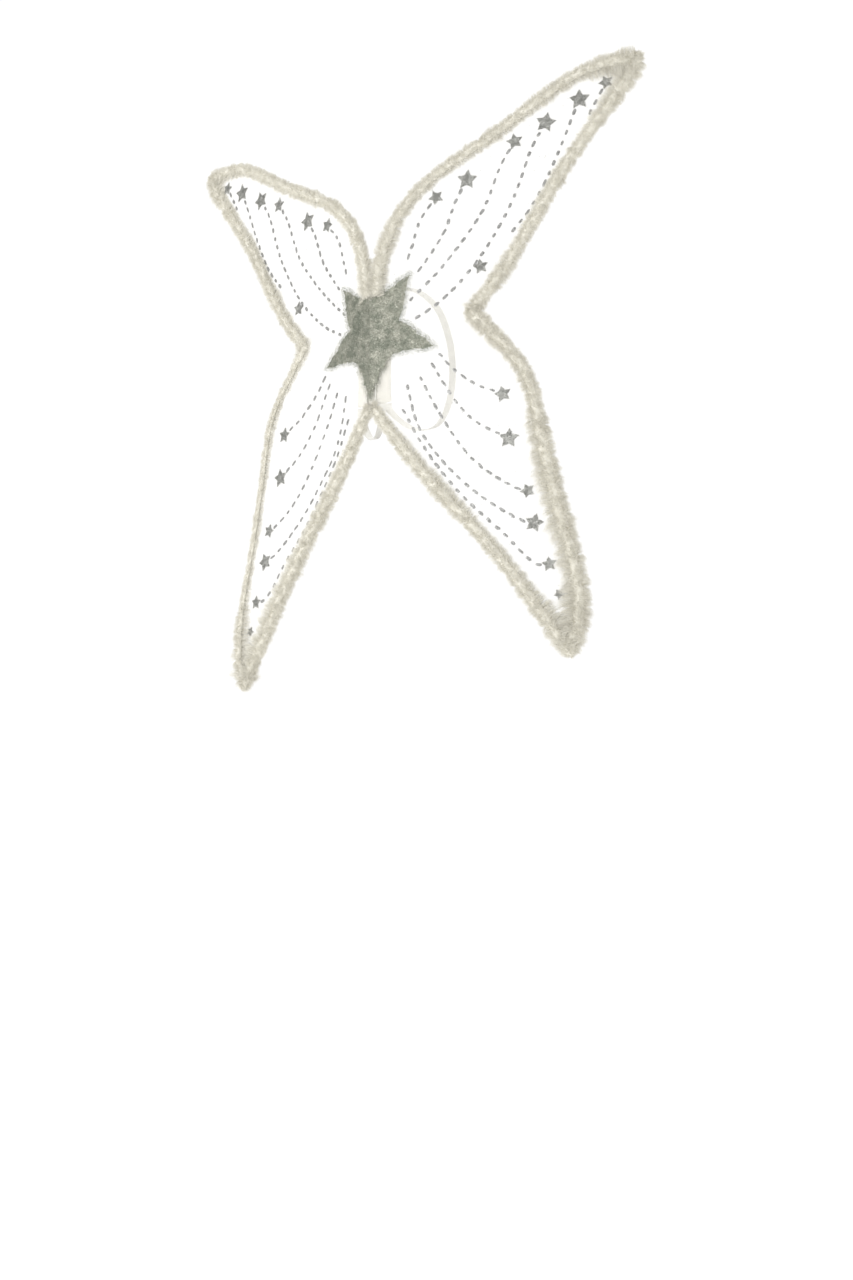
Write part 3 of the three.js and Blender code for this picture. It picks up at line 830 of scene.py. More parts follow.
def make_centre_star():
    rng = np.random.default_rng(31)
    rim = star_rim(STAR_RADIUS, STAR_DENT, -math.pi / 2, 1.6 * MM, 0.9 * MM, rng, 4.5 * MM)
    half = rim[:len(rim) // 2 + 1].copy()
    half[[0, -1], 0] = 0
    fold = np.linspace(half[-1], half[0], 90)[1:-1]
    fold[:, 0] = 0
    rim = np.vstack([half, fold])
    places, faces = fill_flat(rim, 2.2 * MM, 1.0 * MM)
    places[:, 0] = np.maximum(places[:, 0], 0)
    lumps = 0.25 * MM * np.sin(places[:, 0] / (4.1 * MM)) * np.sin(places[:, 1] / (3.3 * MM))
    bump = rng.uniform(-0.2, 0.2, len(places)) * MM + lumps
    spots = strewn(rim, FLAKES_PER_AREA, 8.0 * MM, rng)
    spots[:, 0] = np.abs(spots[:, 0])
    bodies = []
    for hand in HANDS.values():
        out, up = places[:, 0], places[:, 1] + STAR_UP
        top, low = STAR_FACE - 0.5 * MM + bump, np.full(len(places), SLOT)
        front = on_wings(hand, fold_meeting(out, top), up, top)
        back = on_wings(hand, fold_meeting(out, low), up, low)
        body = thin_sheet(len(rim), front, back, faces)
        bodies.append((body[0], body[1] if hand < 0 else body[1][:, ::-1]))
        stand = STAR_FACE + rng.uniform(-0.5, 0.5, len(spots)) * MM
        middles = on_wings(hand, fold_meeting(spots[:, 0], stand), spots[:, 1] + STAR_UP, stand)
        bodies.append(flakes(middles, *half_axes(hand, len(spots)), (0.7 * MM, 1.6 * MM), 0.28, rng))
    points, faces = join_faces(*bodies)
    return new_piece("glitter_centre_star", points, faces, STAR_GLITTER, ["centre_star"],
                     False)


CENTRE_STAR = make_centre_star()
print("star over the fold:", len(CENTRE_STAR.data.polygons), "triangles")

# %% [markdown]
# ## Dashed rays
# Rays of silver dashes run from the large star out to the small ones, each dash a short bar of glue
# and glitter on the cloth. The routes are a few points of each ray, out and up in millimetres. A
# spline goes through them and the dashes are set along it, on the cloth's own surface, so that none
# floats or sinks.

# %% Ray routes
# The star that a ray comes from, counted as in SMALL_STARS, then the route
RAY_ROUTES = [
    (0, [(352, 360), (341, 340)]),
    (1, [(321, 350), (291, 278), (257, 213), (213, 159)]),
    (2, [(257, 306), (226, 225), (173, 135), (114, 74), (61, 41)]),
    (3, [(209, 285), (174, 204), (110, 123), (61, 76)]),
    (4, [(137, 234), (116, 181), (71, 117)]),
    (5, [(79, 207), (66, 167), (55, 135)]),
    (7, [(189, -78), (169, -69), (130, -39), (101, -3)]),
    (8, [(198, -146), (163, -124), (134, -91), (89, -14)]),
    (9, [(226, -233), (160, -184), (105, -101), (76, -42)]),
    (10, [(236, -284), (164, -235), (106, -174), (75, -124), (57, -55)]),
    (11, [(254, -350), (205, -300), (140, -235), (85, -160), (45, -85)]),
]
DASH = 11 * MM
DASH_WIDTH = 5 * MM
DASH_PITCH = 17.2 * MM
DASH_THICK = 0.45 * MM


# %% Dashed rays
def dash_shape(rng):
    """A rounded bar on the flat, about its own middle, with a hand-made edge."""
    turn = np.linspace(0, 2 * math.pi, 12, endpoint=False)
    long = np.sign(np.cos(turn)) * np.abs(np.cos(turn)) ** 0.6 * DASH / 2 * rng.uniform(0.7, 1.12)
    wide = np.sign(np.sin(turn)) * np.abs(np.sin(turn)) ** 0.8 * DASH_WIDTH / 2 * rng.uniform(0.75, 1.1)
    return np.stack([long, wide], -1) * rng.uniform(0.92, 1.08, (12, 1))


def make_rays(side, hand):
    rng = np.random.default_rng(51 + hand)
    bars, bodies = [], []
    for star, route in RAY_ROUTES:
        points = np.vstack([STAR_MIDDLES[star], np.array(route) * MM])
        path, along = even_steps(smooth_curve(points), 1 * MM)
        ahead = directions(path)
        first = STAR_SIZES[star] * 0.9 + DASH / 2
        for here in np.arange(first, along[-1] - DASH / 2, DASH_PITCH):
            i = int(np.searchsorted(along, here))
            slant = rng.normal(0, 0.08)
            lead = np.array([ahead[i][0] - slant * ahead[i][1], ahead[i][1] + slant * ahead[i][0]])
            shape = dash_shape(rng)
            bars.append(path[i] + shape[:, :1] * lead + shape[:, 1:] * np.array([-lead[1], lead[0]]))
    rims = np.array(bars)
    middles = rims.mean(1, keepdims=True)
    inner = middles + (rims - middles) * 0.6
    flat = np.concatenate([rims, inner, rims], 1)
    base = cloth_stand(flat.reshape(-1, 2), hand).reshape(len(bars), -1) + CLOTH / 2
    lift = np.repeat([DASH_THICK * 0.55, DASH_THICK, 0.05 * MM], 12)
    points = on_wings(hand, flat[..., 0], flat[..., 1], base + lift)
    j = np.arange(12)
    k = (j + 1) % 12
    shape = np.vstack([
        as_triangles(np.stack([j + 24, k + 24, k, j], -1)),
        as_triangles(np.stack([j, k, k + 12, j + 12], -1)),
        np.array([(12, 12 + i, 13 + i) for i in range(1, 11)]),
        np.array([(24, 25 + i, 24 + i) for i in range(1, 11)]),
    ])
    faces = (np.arange(len(bars))[:, None, None] * 36 + shape[None]).reshape(-1, 3)
    bodies.append((points.reshape(-1, 3), faces if hand < 0 else faces[:, ::-1]))
    spots = np.repeat(middles[:, 0], 9, 0) + rng.normal(0, 1, (len(bars) * 9, 2)) * 1.3 * MM
    stand = cloth_stand(spots, hand) + CLOTH / 2 + DASH_THICK + rng.uniform(0, 0.2, len(spots)) * MM
    bodies.append(flakes(on_wings(hand, spots[:, 0], spots[:, 1], stand), *half_axes(hand, len(spots)),
                         (0.6 * MM, 1.1 * MM), 0.35, rng))
    points, faces = join_faces(*bodies)
    return new_piece(f"dashed_rays_{side}", points, faces, RAY_GLITTER, smooth=False)


RAYS = {side: make_rays(side, hand) for side, hand in HANDS.items()}
print("dashed rays:", [len(piece.data.polygons) for piece in RAYS.values()], "triangles")

# %% [markdown]
# ## Sparkles on the cloth
# The cloth carries a thin scatter of loose sparkles. They are single flakes on its surface, joined
# into one mesh for each half.


# %% Sparkles on the cloth
SPARKLES_PER_AREA = 5500  # on a square metre


def make_sparkles(side, hand):
    rng = np.random.default_rng(71 + hand)
    spots = strewn(CLOTH_RIM, SPARKLES_PER_AREA, 0, rng)
    stand = cloth_stand(spots, hand) + CLOTH / 2 + 0.25 * MM
    points, faces = flakes(on_wings(hand, spots[:, 0], spots[:, 1], stand), *half_axes(hand, len(spots)),
                           (0.7 * MM, 1.5 * MM), 0.2, rng)
    return new_piece(f"sparkles_{side}", points, faces, SMALL_GLITTER, smooth=False)


SPARKLES = {side: make_sparkles(side, hand) for side, hand in HANDS.items()}
print("sparkles:", [len(piece.data.polygons) // 2 for piece in SPARKLES.values()])

# %% [markdown]
# ## Fluffy trim
# The trim is a roll of short soft fluff that wraps the wire and the edge of the cloth. Particle hair
# would look right but can't be exported, so each fibre is a ribbon of three triangles that tapers to
# a point. The fibres grow from a lumpy backing, lean together into soft locks, and at a corner they
# fan round it, so that the tips of the wings are full. Each length of trim is one mesh.

# %% Sizes of the trim
BACKING_SHARE = 0.5  # radius of the backing, as a share of the trim's
ROOT_SHARE = 0.36
FIBRES_PER_AREA = 600_000  # fibres for each square metre of the trim's outside
FIBRE_WIDTH = 0.385 * MM
LOCKS_PER_AREA = 13_000
FAN_ROUND = 0.72  # the fluff past a tip is shorter than beside it, so the tip is blunt
FOLD_TOP_FLUFF = 9 * MM  # how far the fluff runs on past the ends beside the fold
FOLD_FOOT_FLUFF = 13 * MM
TUFT_STEP = 17 * MM  # the fluff grows and shrinks a little from one tuft to the next

# How far the fluff reaches, as rows of place along, share of the trim's radius, and share of that
# on the cloth. It is longest at the tips, where the two trims grow together. The real trim is uneven:
# the lower outer one is thin on the left half and very full on the right.
FLUFF_REACH = {
    "right": {
        "upper_top": [(0, 1.3, 1.05), (0.1, 1.22, 1.05), (0.25, 0.95, 1), (0.78, 0.96, 1),
                      (0.88, 1, 1.35), (0.96, 1.3, 1.6), (1, 1.25, 1.7)],
        "upper_low": [(0, 1.25, 1.7), (0.05, 1.25, 1.6), (0.14, 1, 1.35), (0.28, 0.9, 1), (0.9, 0.92, 1),
                      (1, 1, 1)],
        "lower_out": [(0, 1, 1), (0.12, 0.9, 1), (0.3, 0.84, 1.05), (0.48, 1.12, 1.35), (0.8, 1.15, 1.4),
                      (0.9, 1.15, 1.6), (1, 1.1, 1.8)],
        "lower_in": [(0, 1.1, 1.8), (0.12, 1, 1.5), (0.25, 0.9, 1.1), (1, 0.95, 1.1)],
    },
    "left": {
        "upper_top": [(0, 1.3, 1.1), (0.1, 1.2, 1.05), (0.25, 0.9, 1), (0.8, 0.9, 1),
                      (0.92, 0.9, 1.2), (1, 1, 1.5)],
        "upper_low": [(0, 1, 1.5), (0.12, 0.95, 1.2), (0.3, 0.88, 1), (0.9, 0.9, 1), (1, 1, 1)],
        "lower_out": [(0, 1, 1), (0.1, 0.54, 1.5), (0.7, 0.48, 1.5), (0.78, 0.6, 1.8), (0.86, 0.88, 2.2),
                      (1, 1.1, 2.4)],
        "lower_in": [(0, 1.1, 2.4), (0.12, 1.08, 2.2), (0.22, 1.08, 1.7), (0.35, 1.08, 1.35),
                     (0.8, 1.02, 1.2), (1, 1, 1)],
    },
}


# %% The trim's line
def fluffy_path(name, side):
    """The line of an edge, the place along it, and how far the fluff on it reaches."""
    path, along, radius = PATHS[name]
    place, reach, _ = zip(*FLUFF_REACH[side][name])
    return path, along, radius * np.interp(along / along[-1], place, reach)


def past_the_end(name, side, at_end):
    """The rows that a length of trim's line gets past one of its ends."""
    path, along, radius = fluffy_path(name, side)
    names = list(EDGES)
    i = -1 if at_end else 0
    corner = EDGES[name][1 if at_end else 0]
    ahead = directions(path)[i]
    out = np.array([-ahead[1], ahead[0]])
    if corner.startswith("fold"):
        run = FOLD_TOP_FLUFF if corner == "fold_top" else FOLD_FOOT_FLUFF
        far = np.arange(1, round(run / MM) + 1) * MM
        turns = np.zeros(len(far))
        place = path[i] + far[:, None] * (ahead if at_end else -ahead)
        fan = 0
    else:
        other = PATHS[names[names.index(name) + (1 if at_end else -1)]][0]
        there = directions(other)[0 if at_end else -1]
        turn = math.atan2(ahead[0] * there[1] - ahead[1] * there[0], ahead @ there) / 2
        far = np.linspace(0, abs(turn) * radius[i], max(3, round(abs(turn) * radius[i] / MM)))[1:]
        turns = turn * far / far[-1]
        place = np.tile(path[i], (len(far), 1))
        fan = -math.copysign(1, turn if at_end else -turn)
    cos, sin = np.cos(turns), np.sin(turns)
    out_way = np.stack([out[0] * cos - out[1] * sin, out[0] * sin + out[1] * cos], -1)
    reached = along[i] + (far if at_end else -far)
    rows = np.column_stack([place, out_way, np.full(len(far), radius[i]), np.full(len(far), fan), reached])
    return rows if at_end else rows[::-1]


def trim_line(name, side):
    """The line that a length of trim follows, as rows of place, way out, radius, fan and place
    along. At a corner it goes on at the corner while the way out turns to the corner's middle, and
    fan says on which side of the cloth's edge the fluff fans out there. Beside the fold it goes on."""
    path, along, radius = fluffy_path(name, side)
    ahead = directions(path)
    edge = np.column_stack([path, -ahead[:, 1], ahead[:, 0], radius, np.zeros(len(path)), along])
    return np.vstack([past_the_end(name, side, False), edge, past_the_end(name, side, True)])


def longer_on_cloth(name, side, along):
    """How much longer the fluff is where it lies on the cloth."""
    place, _, inner = zip(*FLUFF_REACH[side][name])
    return np.interp(along / PATHS[name][1][-1], place, inner)


def line_at(line, along):
    """The rows of a line at given places along it."""
    return np.stack([np.interp(along, line[:, 6], line[:, i]) for i in range(6)], -1)


# %% Fibres of the trim
def nearest_lock(along, turn, locks, radius):
    """For each fibre, the lock whose tip is nearest, and how far off it is."""
    nearest = np.empty(len(along), int)
    apart = np.empty(len(along))
    for first in range(0, len(along), 3000):
        part = slice(first, first + 3000)
        swing = np.abs(turn[part, None] - locks[None, :, 1])
        swing = np.minimum(swing, 2 * math.pi - swing) * radius
        gaps = np.hypot(along[part, None] - locks[None, :, 0], swing)
        nearest[part] = gaps.argmin(1)
        apart[part] = gaps.min(1)
    return nearest, apart


def grow_fibres(name, side, hand, rng):
    """Roots, middles and tips of the fibres of one length of trim."""
    line = trim_line(name, side)
    start, end = line[0, 6], line[-1, 6]
    radius = line[:, 4].mean()
    outside = (end - start) * 2 * math.pi * radius
    count = int(FIBRES_PER_AREA * outside)
    along = rng.uniform(start, end, count)
    turn = rng.uniform(-math.pi, math.pi, count)
    lock_count = int(LOCKS_PER_AREA * outside)
    lock_along = rng.uniform(start, end, lock_count)
    lock_turn = rng.uniform(-math.pi, math.pi, lock_count)
    locks = np.column_stack([lock_along, lock_turn])
    nearest, apart = nearest_lock(along, turn, locks, radius)
    swing = (locks[nearest, 1] - turn + math.pi) % (2 * math.pi) - math.pi
    gather = rng.uniform(0, 0.55, count)
    lean = rng.normal(1.0 * MM, 2.2 * MM, lock_count)[nearest]
    tip_along = along + gather * (locks[nearest, 0] - along) + lean + rng.normal(0, 1.8 * MM, count)
    tip_turn = turn + gather * swing + rng.normal(0, 0.1, lock_count)[nearest] + rng.normal(0, 0.1, count)
    lock_size = rng.uniform(0.94, 1.22, lock_count)[nearest]
    full = lock_size * (1.1 - 0.12 * np.clip(apart / (5 * MM), 0, 1.5)) * rng.uniform(0.8, 1.12, count)
    full = np.where(rng.uniform(0, 1, count) < 0.06, full * rng.uniform(1.03, 1.16, count), full)
    # on the cloth the fluff lies flatter, and it may be longer there
    inward = np.clip(-np.cos(turn), 0, 1) ** 2
    tip_turn = tip_turn + 0.35 * inward * (np.sign(turn) * math.pi - turn)
    tip_turn = np.clip(tip_turn, -math.pi + 0.05, math.pi - 0.05)
    full = full * (1 + inward * (longer_on_cloth(name, side, along) - 1))
    tufts = np.arange(start, end + TUFT_STEP, TUFT_STEP)
    full = full * np.interp(along, tufts, rng.uniform(0.9, 1.13, len(tufts)))
    fan = line_at(line, along)[:, 5]
    in_fan = np.abs(fan) > 0.5
    full = full * np.where(in_fan, FAN_ROUND, 1)
    keep = ~in_fan | (np.cos(turn) * fan > 0.1)
    keep &= np.abs(turn) < math.pi - 0.07  # the cloth leaves the trim here

    def spots(share_of_radius, at_along, at_turn):
        row = line_at(line, np.clip(at_along, start, end))
        reach = row[:, 4] * share_of_radius
        u, w = reach * np.cos(at_turn), FUR_FLAT * reach * np.sin(at_turn)
        return on_wings(hand, row[:, 0] + row[:, 2] * u, row[:, 1] + row[:, 3] * u, w)

    roots = spots(np.full(count, ROOT_SHARE), along, turn)
    middles = spots(ROOT_SHARE + (full - ROOT_SHARE) * 0.62, along + 0.4 * (tip_along - along),
                    turn + 0.4 * (tip_turn - turn))
    tips = spots(full, tip_along, tip_turn)
    tips[:, 2] -= np.linalg.norm(tips - roots, axis=1) ** 2 / FUR_RADIUS * 0.08
    return roots[keep], middles[keep], tips[keep]


def ribbons(roots, middles, tips, width, rng):
    """Each fibre as a ribbon of three triangles that tapers to a point."""
    count = len(roots)
    broad = unit(np.cross(tips - roots, unit(rng.normal(0, 1, (count, 3)))))
    half = (width * rng.uniform(0.6, 1.2, count) / 2)[:, None]
    points = np.stack([roots - broad * half, roots + broad * half,
                       middles - broad * half * 0.85, middles + broad * half * 0.85, tips], 1)
    first = np.arange(count)[:, None] * 5
    faces = np.hstack([first + [0, 1, 3], first + [0, 3, 2], first + [2, 3, 4]]).reshape(-1, 3)
    return points.reshape(-1, 3), faces


# %% The backing of the trim
def make_backing(name, side, hand, rng):
    """A lumpy roll round the wire, closed by a dome past each end, with a slot on its inner side
    that is wide at the wire and narrow where the cloth comes out."""
    path, along, radius = fluffy_path(name, side)
    ahead = directions(path)
    past = BACKING_SHARE * radius[[0, -1]]
    places = np.linspace(-past[0], along[-1] + past[1], round((along[-1] + past.sum()) / (7 * MM)))
    near_ends = np.concatenate([places[0] + past[0] * np.array([0.03, 0.15, 0.4]),
                                places[-1] - past[1] * np.array([0.03, 0.15, 0.4])])
    places = np.sort(np.concatenate([places[1:-1], near_ends]))
    on_edge = np.clip(places, 0, along[-1])
    size, x, y, ahead_x, ahead_y = (
        np.interp(on_edge, along, column)[:, None] for column in (radius, *path.T, *ahead.T))
    extra = (places - on_edge)[:, None]
    dome = np.sqrt(np.maximum(1 - (extra / (BACKING_SHARE * size)) ** 2, 0.02))
    sides = 13
    turn = np.linspace(math.pi - 0.16, -math.pi + 0.16, sides)
    lumps = 1 + 0.1 * np.sin(places[:, None] / (6.5 * MM) + 2 * turn[None])
    lumps = lumps + rng.uniform(-0.07, 0.07, (len(places), sides))
    reach = size * BACKING_SHARE * lumps * dome
    # at the ends the slot narrows with the dome
    deep = np.minimum(SLOT, 0.45 * size * BACKING_SHARE * dome)
    slit = np.minimum(0.5 * MM, deep)
    u = np.hstack([reach * np.cos(turn), -1.4 * deep, deep, deep, -1.4 * deep])
    w = np.hstack([FUR_FLAT * reach * np.sin(turn), -deep, -deep, deep, deep])
    w[:, 0] = np.maximum(w[:, 0], slit[:, 0])
    w[:, sides - 1] = np.minimum(w[:, sides - 1], -slit[:, 0])
    out_x, out_y = -ahead_y, ahead_x
    points = on_wings(hand, x + ahead_x * extra + out_x * u, y + ahead_y * extra + out_y * u, w)
    total = sides + 4
    faces = as_triangles(ring_faces(len(places), total, False))
    # an end is filled from the slot's four points out to the round outside
    half = sides // 2
    cap = [(i, i + 1, sides + 3) for i in range(half // 2)]
    cap += [(i, i + 1, sides + 2) for i in range(half // 2, half)]
    cap += [(i, i + 1, sides + 1) for i in range(half, sides - 1 - half // 2)]
    cap += [(i, i + 1, sides) for i in range(sides - 1 - half // 2, sides - 1)]
    cap += [(half // 2, sides + 2, sides + 3), (half, sides + 1, sides + 2),
            (sides - 1 - half // 2, sides, sides + 1)]
    cap = np.array(cap)
    faces = np.vstack([faces, cap[:, ::-1], cap + (len(places) - 1) * total])
    return points.reshape(-1, 3), faces if hand > 0 else faces[:, ::-1]


# %% The eight lengths of trim
def make_trim(name, side, hand):
    rng = np.random.default_rng([91, list(EDGES).index(name), hand + 1])
    backing, backing_faces = make_backing(name, side, hand, rng)
    fluff, fluff_faces = ribbons(*grow_fibres(name, side, hand, rng), FIBRE_WIDTH, rng)
    points, faces = join_faces((backing, backing_faces), (fluff, fluff_faces))
    piece = new_piece(f"fluff_{name}_{side}", points, faces, FLUFF, [f"fur_{name}_{side}"])
    piece.data.materials.append(BACKING)
    slots = np.zeros(len(faces), np.int32)
    slots[:len(backing_faces)] = 1
    piece.data.polygons.foreach_set("material_index", slots)
    return piece


TRIMS = [make_trim(name, side, hand) for side, hand in HANDS.items() for name in EDGES]
print("trim:", {piece.name: len(piece.data.polygons) for piece in TRIMS})

# %% [markdown]
# ## Back pad
# The pad between the shoulders is felt over a thin layer of foam, puffed inside its stitched edge.
# It is blown up by a short cloth simulation, because foam under cloth rounds in a way that is hard
# to draw by hand. Its back follows the two halves of the wings as a shallow wedge. Each point may
# move only a little, so the pad keeps to its place.

# %% Back pad
PAD_START = 1.2 * MM  # the pad starts this much smaller all round
PAD_SWELL = 1.1 * MM  # and a point moves at most this far


def pad_body():
    """The pad's wedge, a little smaller than its solid, as a mesh object."""
    half = PAD_WIDTH / 2 - PAD_START
    back = FOLD_Y + SLOT / math.cos(SWEEP) + PAD_START
    plan = [(half, -PAD_START), (-half, -PAD_START), (-half, -PAD_EDGE + 0.2 * MM), (0, back),
            (half, -PAD_EDGE + 0.2 * MM)]
    top = PAD_HEIGHT / 2 - PAD_START
    mesh = bmesh.new()
    low = [mesh.verts.new((x, y, -top)) for x, y in plan]
    high = [mesh.verts.new((x, y, top)) for x, y in plan]
    mesh.faces.new(low)
    mesh.faces.new(high[::-1])
    for i in range(5):
        k = (i + 1) % 5
        mesh.faces.new((low[k], low[i], high[i], high[k]))
    bmesh.ops.recalc_face_normals(mesh, faces=mesh.faces)
    data = bpy.data.meshes.new("felt_pad")
    mesh.to_mesh(data)
    mesh.free()
    piece = bpy.data.objects.new("felt_pad", data)
    bpy.context.scene.collection.objects.link(piece)
    return piece


def apply_modifier(piece, modifier):
    """Applies one modifier of a piece."""
    bpy.ops.object.select_all(action="DESELECT")
    piece.select_set(True)
    bpy.context.view_layer.objects.active = piece
    bpy.ops.object.modifier_apply(modifier=modifier.name)


def swell(piece, pressure, most):
    """Blows a closed mesh up as cloth, with no point moving further than most."""
    start = np.array([tuple(v.co) for v in piece.data.vertices])
    cloth = piece.modifiers.new("swell", "CLOTH")
    cloth.settings.use_pressure = True
    cloth.settings.uniform_pressure_force = pressure
    cloth.settings.effector_weights.gravity = 0
    cloth.settings.quality = 5
    scene = bpy.context.scene
    for number in range(1, 21):
        scene.frame_set(number)
    apply_modifier(piece, cloth)
    scene.frame_set(1)
    moved = np.array([tuple(v.co) for v in piece.data.vertices]) - start
    far = np.linalg.norm(moved, axis=1, keepdims=True)
    held = start + moved * np.minimum(1, most / np.maximum(far, 1e-9))
    piece.data.vertices.foreach_set("co", held.ravel())
    piece.data.update()
    return float(far.max())


def make_pad():
    piece = pad_body()
    remesh = piece.modifiers.new("even", "REMESH")
    remesh.mode = "VOXEL"
    remesh.voxel_size = 2.8 * MM
    apply_modifier(piece, remesh)
    print(f"pad swelled by up to {swell(piece, 4.0, PAD_SWELL):.4f} m before the cap")
    smooth = piece.modifiers.new("soft", "SUBSURF")
    smooth.levels = 1
    apply_modifier(piece, smooth)
    for polygon in piece.data.polygons:
        polygon.use_smooth = True
    piece.data.materials.append(PAD_FELT)
    place_piece(piece, ["back_pad"])
    return piece


PAD = make_pad()
print("pad:", len(PAD.data.polygons), "faces")

# %% The pad's stitched edge
STITCH = 3 * MM
STITCH_PITCH = 4.4 * MM
STITCH_INSET = 4.5 * MM  # how far the row runs in from the pad's edge
STITCH_THICK = 0.8 * MM


def one_stitch(middle, ahead, face_way):
    """A stitch of thread that bows up between its two ends, which go into the felt."""
    share = np.linspace(-1, 1, 7)
    across = np.cross(ahead, face_way)
    bow = STITCH_THICK * (0.45 - 0.8 * share ** 2)
    line = middle + share[:, None] * ahead * STITCH / 2 + bow[:, None] * face_way
    turn = np.linspace(0, 2 * math.pi, 6, endpoint=False)
    reach = STITCH_THICK / 2 * np.sqrt(1.05 - share ** 2)
    ring = np.cos(turn)[:, None] * across + np.sin(turn)[:, None] * face_way
    return (line[:, None] + reach[:, None, None] * ring[None]).reshape(-1, 3)


def stitch_pad():
    """A row of stitches round the pad's front, laid on its puffed face."""
    half, top = PAD_WIDTH / 2 - STITCH_INSET, PAD_HEIGHT / 2 - STITCH_INSET
    corners = np.array([(half, 0, top), (-half, 0, top), (-half, 0, -top), (half, 0, -top), (half, 0, top)])
    row, _ = even_steps(corners, STITCH_PITCH)
    parts = []
    for here, there in zip(row[:-1], row[1:]):
        _, spot, face_way, _ = PAD.closest_point_on_mesh(Vector((here + there) / 2))
        face_way = np.array(face_way)
        ahead = there - here - (there - here) @ face_way * face_way
        stitch = one_stitch(np.array(spot), ahead / np.linalg.norm(ahead), face_way)
        parts.append((stitch, ring_faces(7, 6, False)))
    points, faces = join_faces(*parts)
    return new_piece("pad_stitches", points, faces, THREAD)


STITCHES = stitch_pad()
print("pad stitches:", len(STITCHES.data.polygons), "faces")

# %% [markdown]
# ## Elastic arm loops
# A flat ribbed elastic leaves each end of the pad, goes over or under the shoulder and joins itself
# in front as one band. Its ribs run along it, so the section has a row of small waves on both faces.
# It is swept along the same route as its solid, with its width kept to the wearer's left and right.

# %% Elastic arm loops
STRAP_WIDTH = 12 * MM
STRAP_THICK = 1.5 * MM
STRAP_INSET = 1 * MM
STRAP_STAND = 6 * MM
STRAP_REACH = 125 * MM
STRAP_RISE = 28 * MM
STRAP_SPREAD = 40 * MM
STRAP_TUCK = CLEAR + PAD_START  # the ends are sewn in, so they reach the puffed pad
STRAP_ROUTE = [(0.2, 0.95), (0.45, 1), (0.75, 0.86), (0.94, 0.48), (1, 0)]  # forward, up


def strap_route(hand):
    inset = STRAP_INSET + STRAP_WIDTH / 2
    seat_out = PAD_WIDTH / 2 - inset
    seat_ahead = -(PAD_EDGE + inset * math.tan(SWEEP)) / 2
    loop_half = PAD_HEIGHT / 2 + STRAP_RISE
    seat_up = PAD_HEIGHT / 2 + CLEAR
    upper = [(seat_out, seat_ahead, seat_up), (seat_out, seat_ahead, seat_up + STRAP_STAND)]
    for forward, up in STRAP_ROUTE:
        ahead = seat_ahead + (STRAP_REACH - seat_ahead) * forward
        upper.append((seat_out + STRAP_SPREAD * forward, ahead, loop_half * up))
    lower = [(x, y, -z) for x, y, z in upper[-2::-1]]
    return np.array(upper + lower) * [hand, 1, 1]


def make_loop(side, hand):
    path, along = even_steps(smooth_curve(strap_route(hand)), 3 * MM)
    path[0, 2] -= STRAP_TUCK
    path[-1, 2] += STRAP_TUCK
    ahead = directions(path)
    ahead[0], ahead[-1] = (0, 0, 1), (0, 0, 1)
    wide = unit(np.array([1.0, 0, 0]) - ahead * ahead[:, :1])
    thick = np.cross(ahead, wide)
    ribs = 25
    a = np.linspace(-1, 1, ribs)
    wave = 0.5 + 0.5 * np.cos(np.arange(ribs) * math.pi)
    face = STRAP_THICK / 2 * (0.72 + 0.22 * wave) * np.minimum(1, (1.04 - np.abs(a)) * 8)
    section = np.vstack([np.stack([a, face], -1), np.stack([a[::-1], -face[::-1]], -1)])
    weft = 1 + 0.02 * np.sin(along / (1.9 * MM))
    points = (path[:, None] + wide[:, None] * section[None, :, :1] * STRAP_WIDTH / 2 * weft[:, None, None]
              + thick[:, None] * section[None, :, 1:])
    sides = ribs * 2
    caps = np.array([(i, i + 1, sides - 2 - i, sides - 1 - i) for i in range(ribs - 1)])
    faces = np.vstack([ring_faces(len(path), sides, False), caps[:, ::-1], caps + (len(path) - 1) * sides])
    return new_piece(f"elastic_loop_{side}", points.reshape(-1, 3), faces, ELASTIC,
                     [f"shoulder_strap_{side}"])


LOOPS = {side: make_loop(side, hand) for side, hand in HANDS.items()}
print("arm loops:", [len(piece.data.polygons) for piece in LOOPS.values()], "faces")

# %% [markdown]
# ## Floor, light and camera
# The wings are shown as they hang on a back, so the floor is far below them. The light is a bright
# even studio with one large soft light from the left, which gives the fluff its form. The
# camera looks at the star side from the right, a little below the middle of the wings.

# %% Floor and light
FLOOR_UP = -1.30


def make_floor():
    material, tree, shader = new_material("pale_floor", Roughness=0.9, Specular_IOR_Level=0.1)
    tone = use_group(tree, "fibre_tone", Light=(0.95, 0.95, 0.95, 1), Deep=(0.93, 0.93, 0.93, 1),
                     Patch_Scale=2.0, Fibre_Scale=30.0, Roughness=0.8)
    tree.links.new(tone.outputs["Colour"], shader.inputs["Base Color"])
    shader.inputs["Emission Color"].default_value = (1, 1, 1, 1)
    shader.inputs["Emission Strength"].default_value = 0.5
    mesh = bpy.data.meshes.new("floor")
    size = 14.0
    mesh.from_pydata([(-size, -size, FLOOR_UP), (size, -size, FLOOR_UP), (size, size, FLOOR_UP),
                      (-size, size, FLOOR_UP)], [], [(0, 1, 2, 3)])
    mesh.materials.append(material)
    floor = bpy.data.objects.new("floor", mesh)
    bpy.context.scene.collection.objects.link(floor)
    return floor


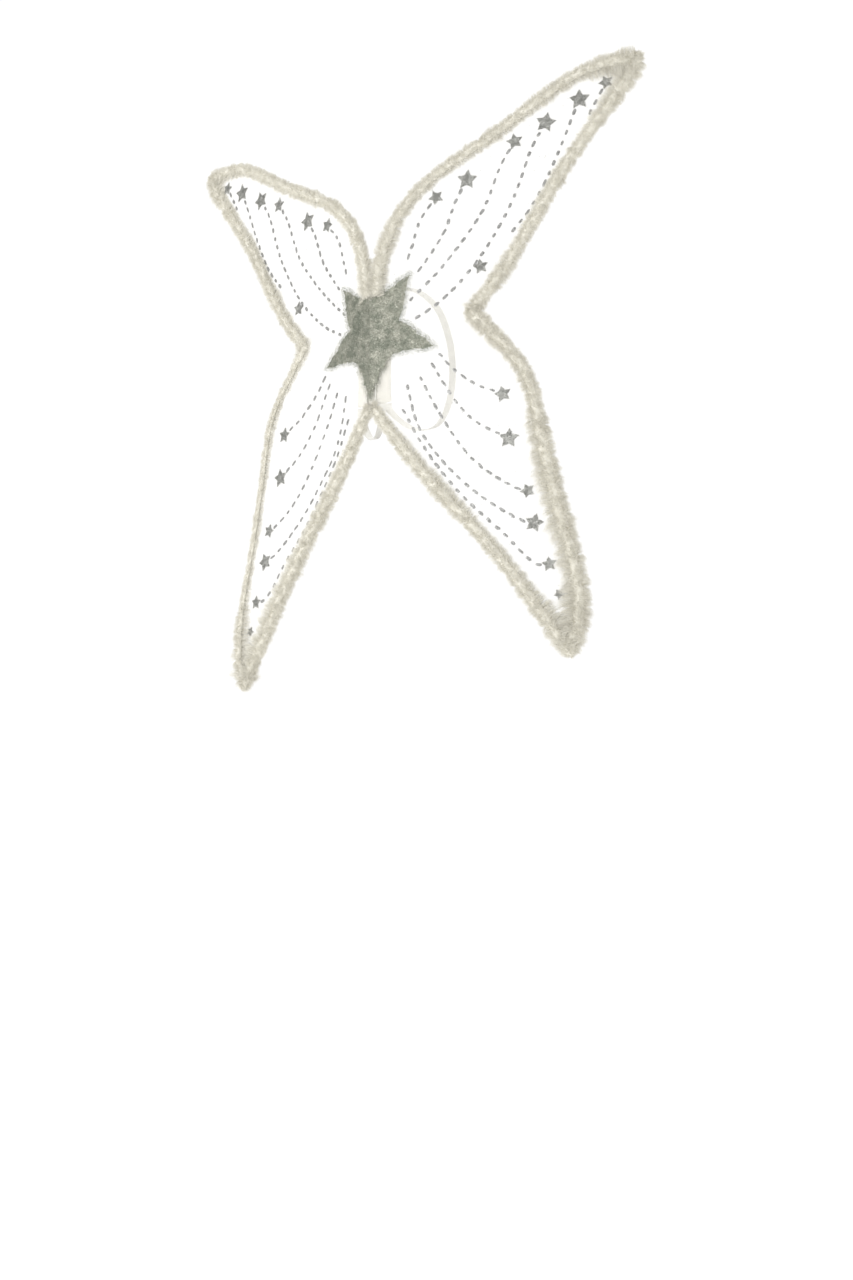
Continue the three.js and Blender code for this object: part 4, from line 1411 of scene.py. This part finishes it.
def make_light(name, place, aim, size, power):
    light = bpy.data.lights.new(name, "AREA")
    light.shape = "DISK"
    light.size = size
    light.energy = power
    lamp = bpy.data.objects.new(name, light)
    lamp.location = place
    lamp.rotation_euler = (Vector(aim) - Vector(place)).to_track_quat("-Z", "Y").to_euler()
    bpy.context.scene.collection.objects.link(lamp)
    return lamp


def make_world(strength):
    world = bpy.data.worlds.new("studio")
    world.use_nodes = True
    tree = world.node_tree
    tree.nodes["Background"].inputs["Color"].default_value = (1, 1, 1, 1)
    tree.nodes["Background"].inputs["Strength"].default_value = strength
    seen = add_node(tree, "ShaderNodeBackground", {"Color": (1, 1, 1, 1), "Strength": 1.05})
    path = tree.nodes.new("ShaderNodeLightPath")
    mix = tree.nodes.new("ShaderNodeMixShader")
    tree.links.new(path.outputs["Is Camera Ray"], mix.inputs[0])
    tree.links.new(tree.nodes["Background"].outputs[0], mix.inputs[1])
    tree.links.new(seen.outputs[0], mix.inputs[2])
    tree.links.new(mix.outputs[0], tree.nodes["World Output"].inputs["Surface"])
    bpy.context.scene.world = world


make_floor()
make_world(0.72)
make_light("key_light", (-0.6, -2.9, 0.1), (0, 0, 0), 1.6, 45)
bpy.context.scene.view_settings.view_transform = "Standard"
print("floor and light set")

# %% Camera
CAMERA_PLACE = Vector((1.3629, -2.1528, -0.930))
CAMERA_AHEAD = Vector((-0.5001, 0.8458, 0.1859)).normalized()
CAMERA_RIGHT = CAMERA_AHEAD.cross(Vector((0.0962, -0.1591, 0.9826))).normalized()
CAMERA_UP = CAMERA_RIGHT.cross(CAMERA_AHEAD)
camera = bpy.data.cameras.new("camera")
camera.lens = 48.75
camera.sensor_width = 36
camera.sensor_fit = "AUTO"
camera.clip_end = 60
eye = bpy.data.objects.new("camera", camera)
eye.matrix_world = Matrix([
    (CAMERA_RIGHT[i], CAMERA_UP[i], -CAMERA_AHEAD[i], CAMERA_PLACE[i]) for i in range(3)
] + [(0, 0, 0, 1)])
bpy.context.scene.collection.objects.link(eye)
bpy.context.scene.camera = eye
print("camera at", tuple(round(v, 3) for v in CAMERA_PLACE))
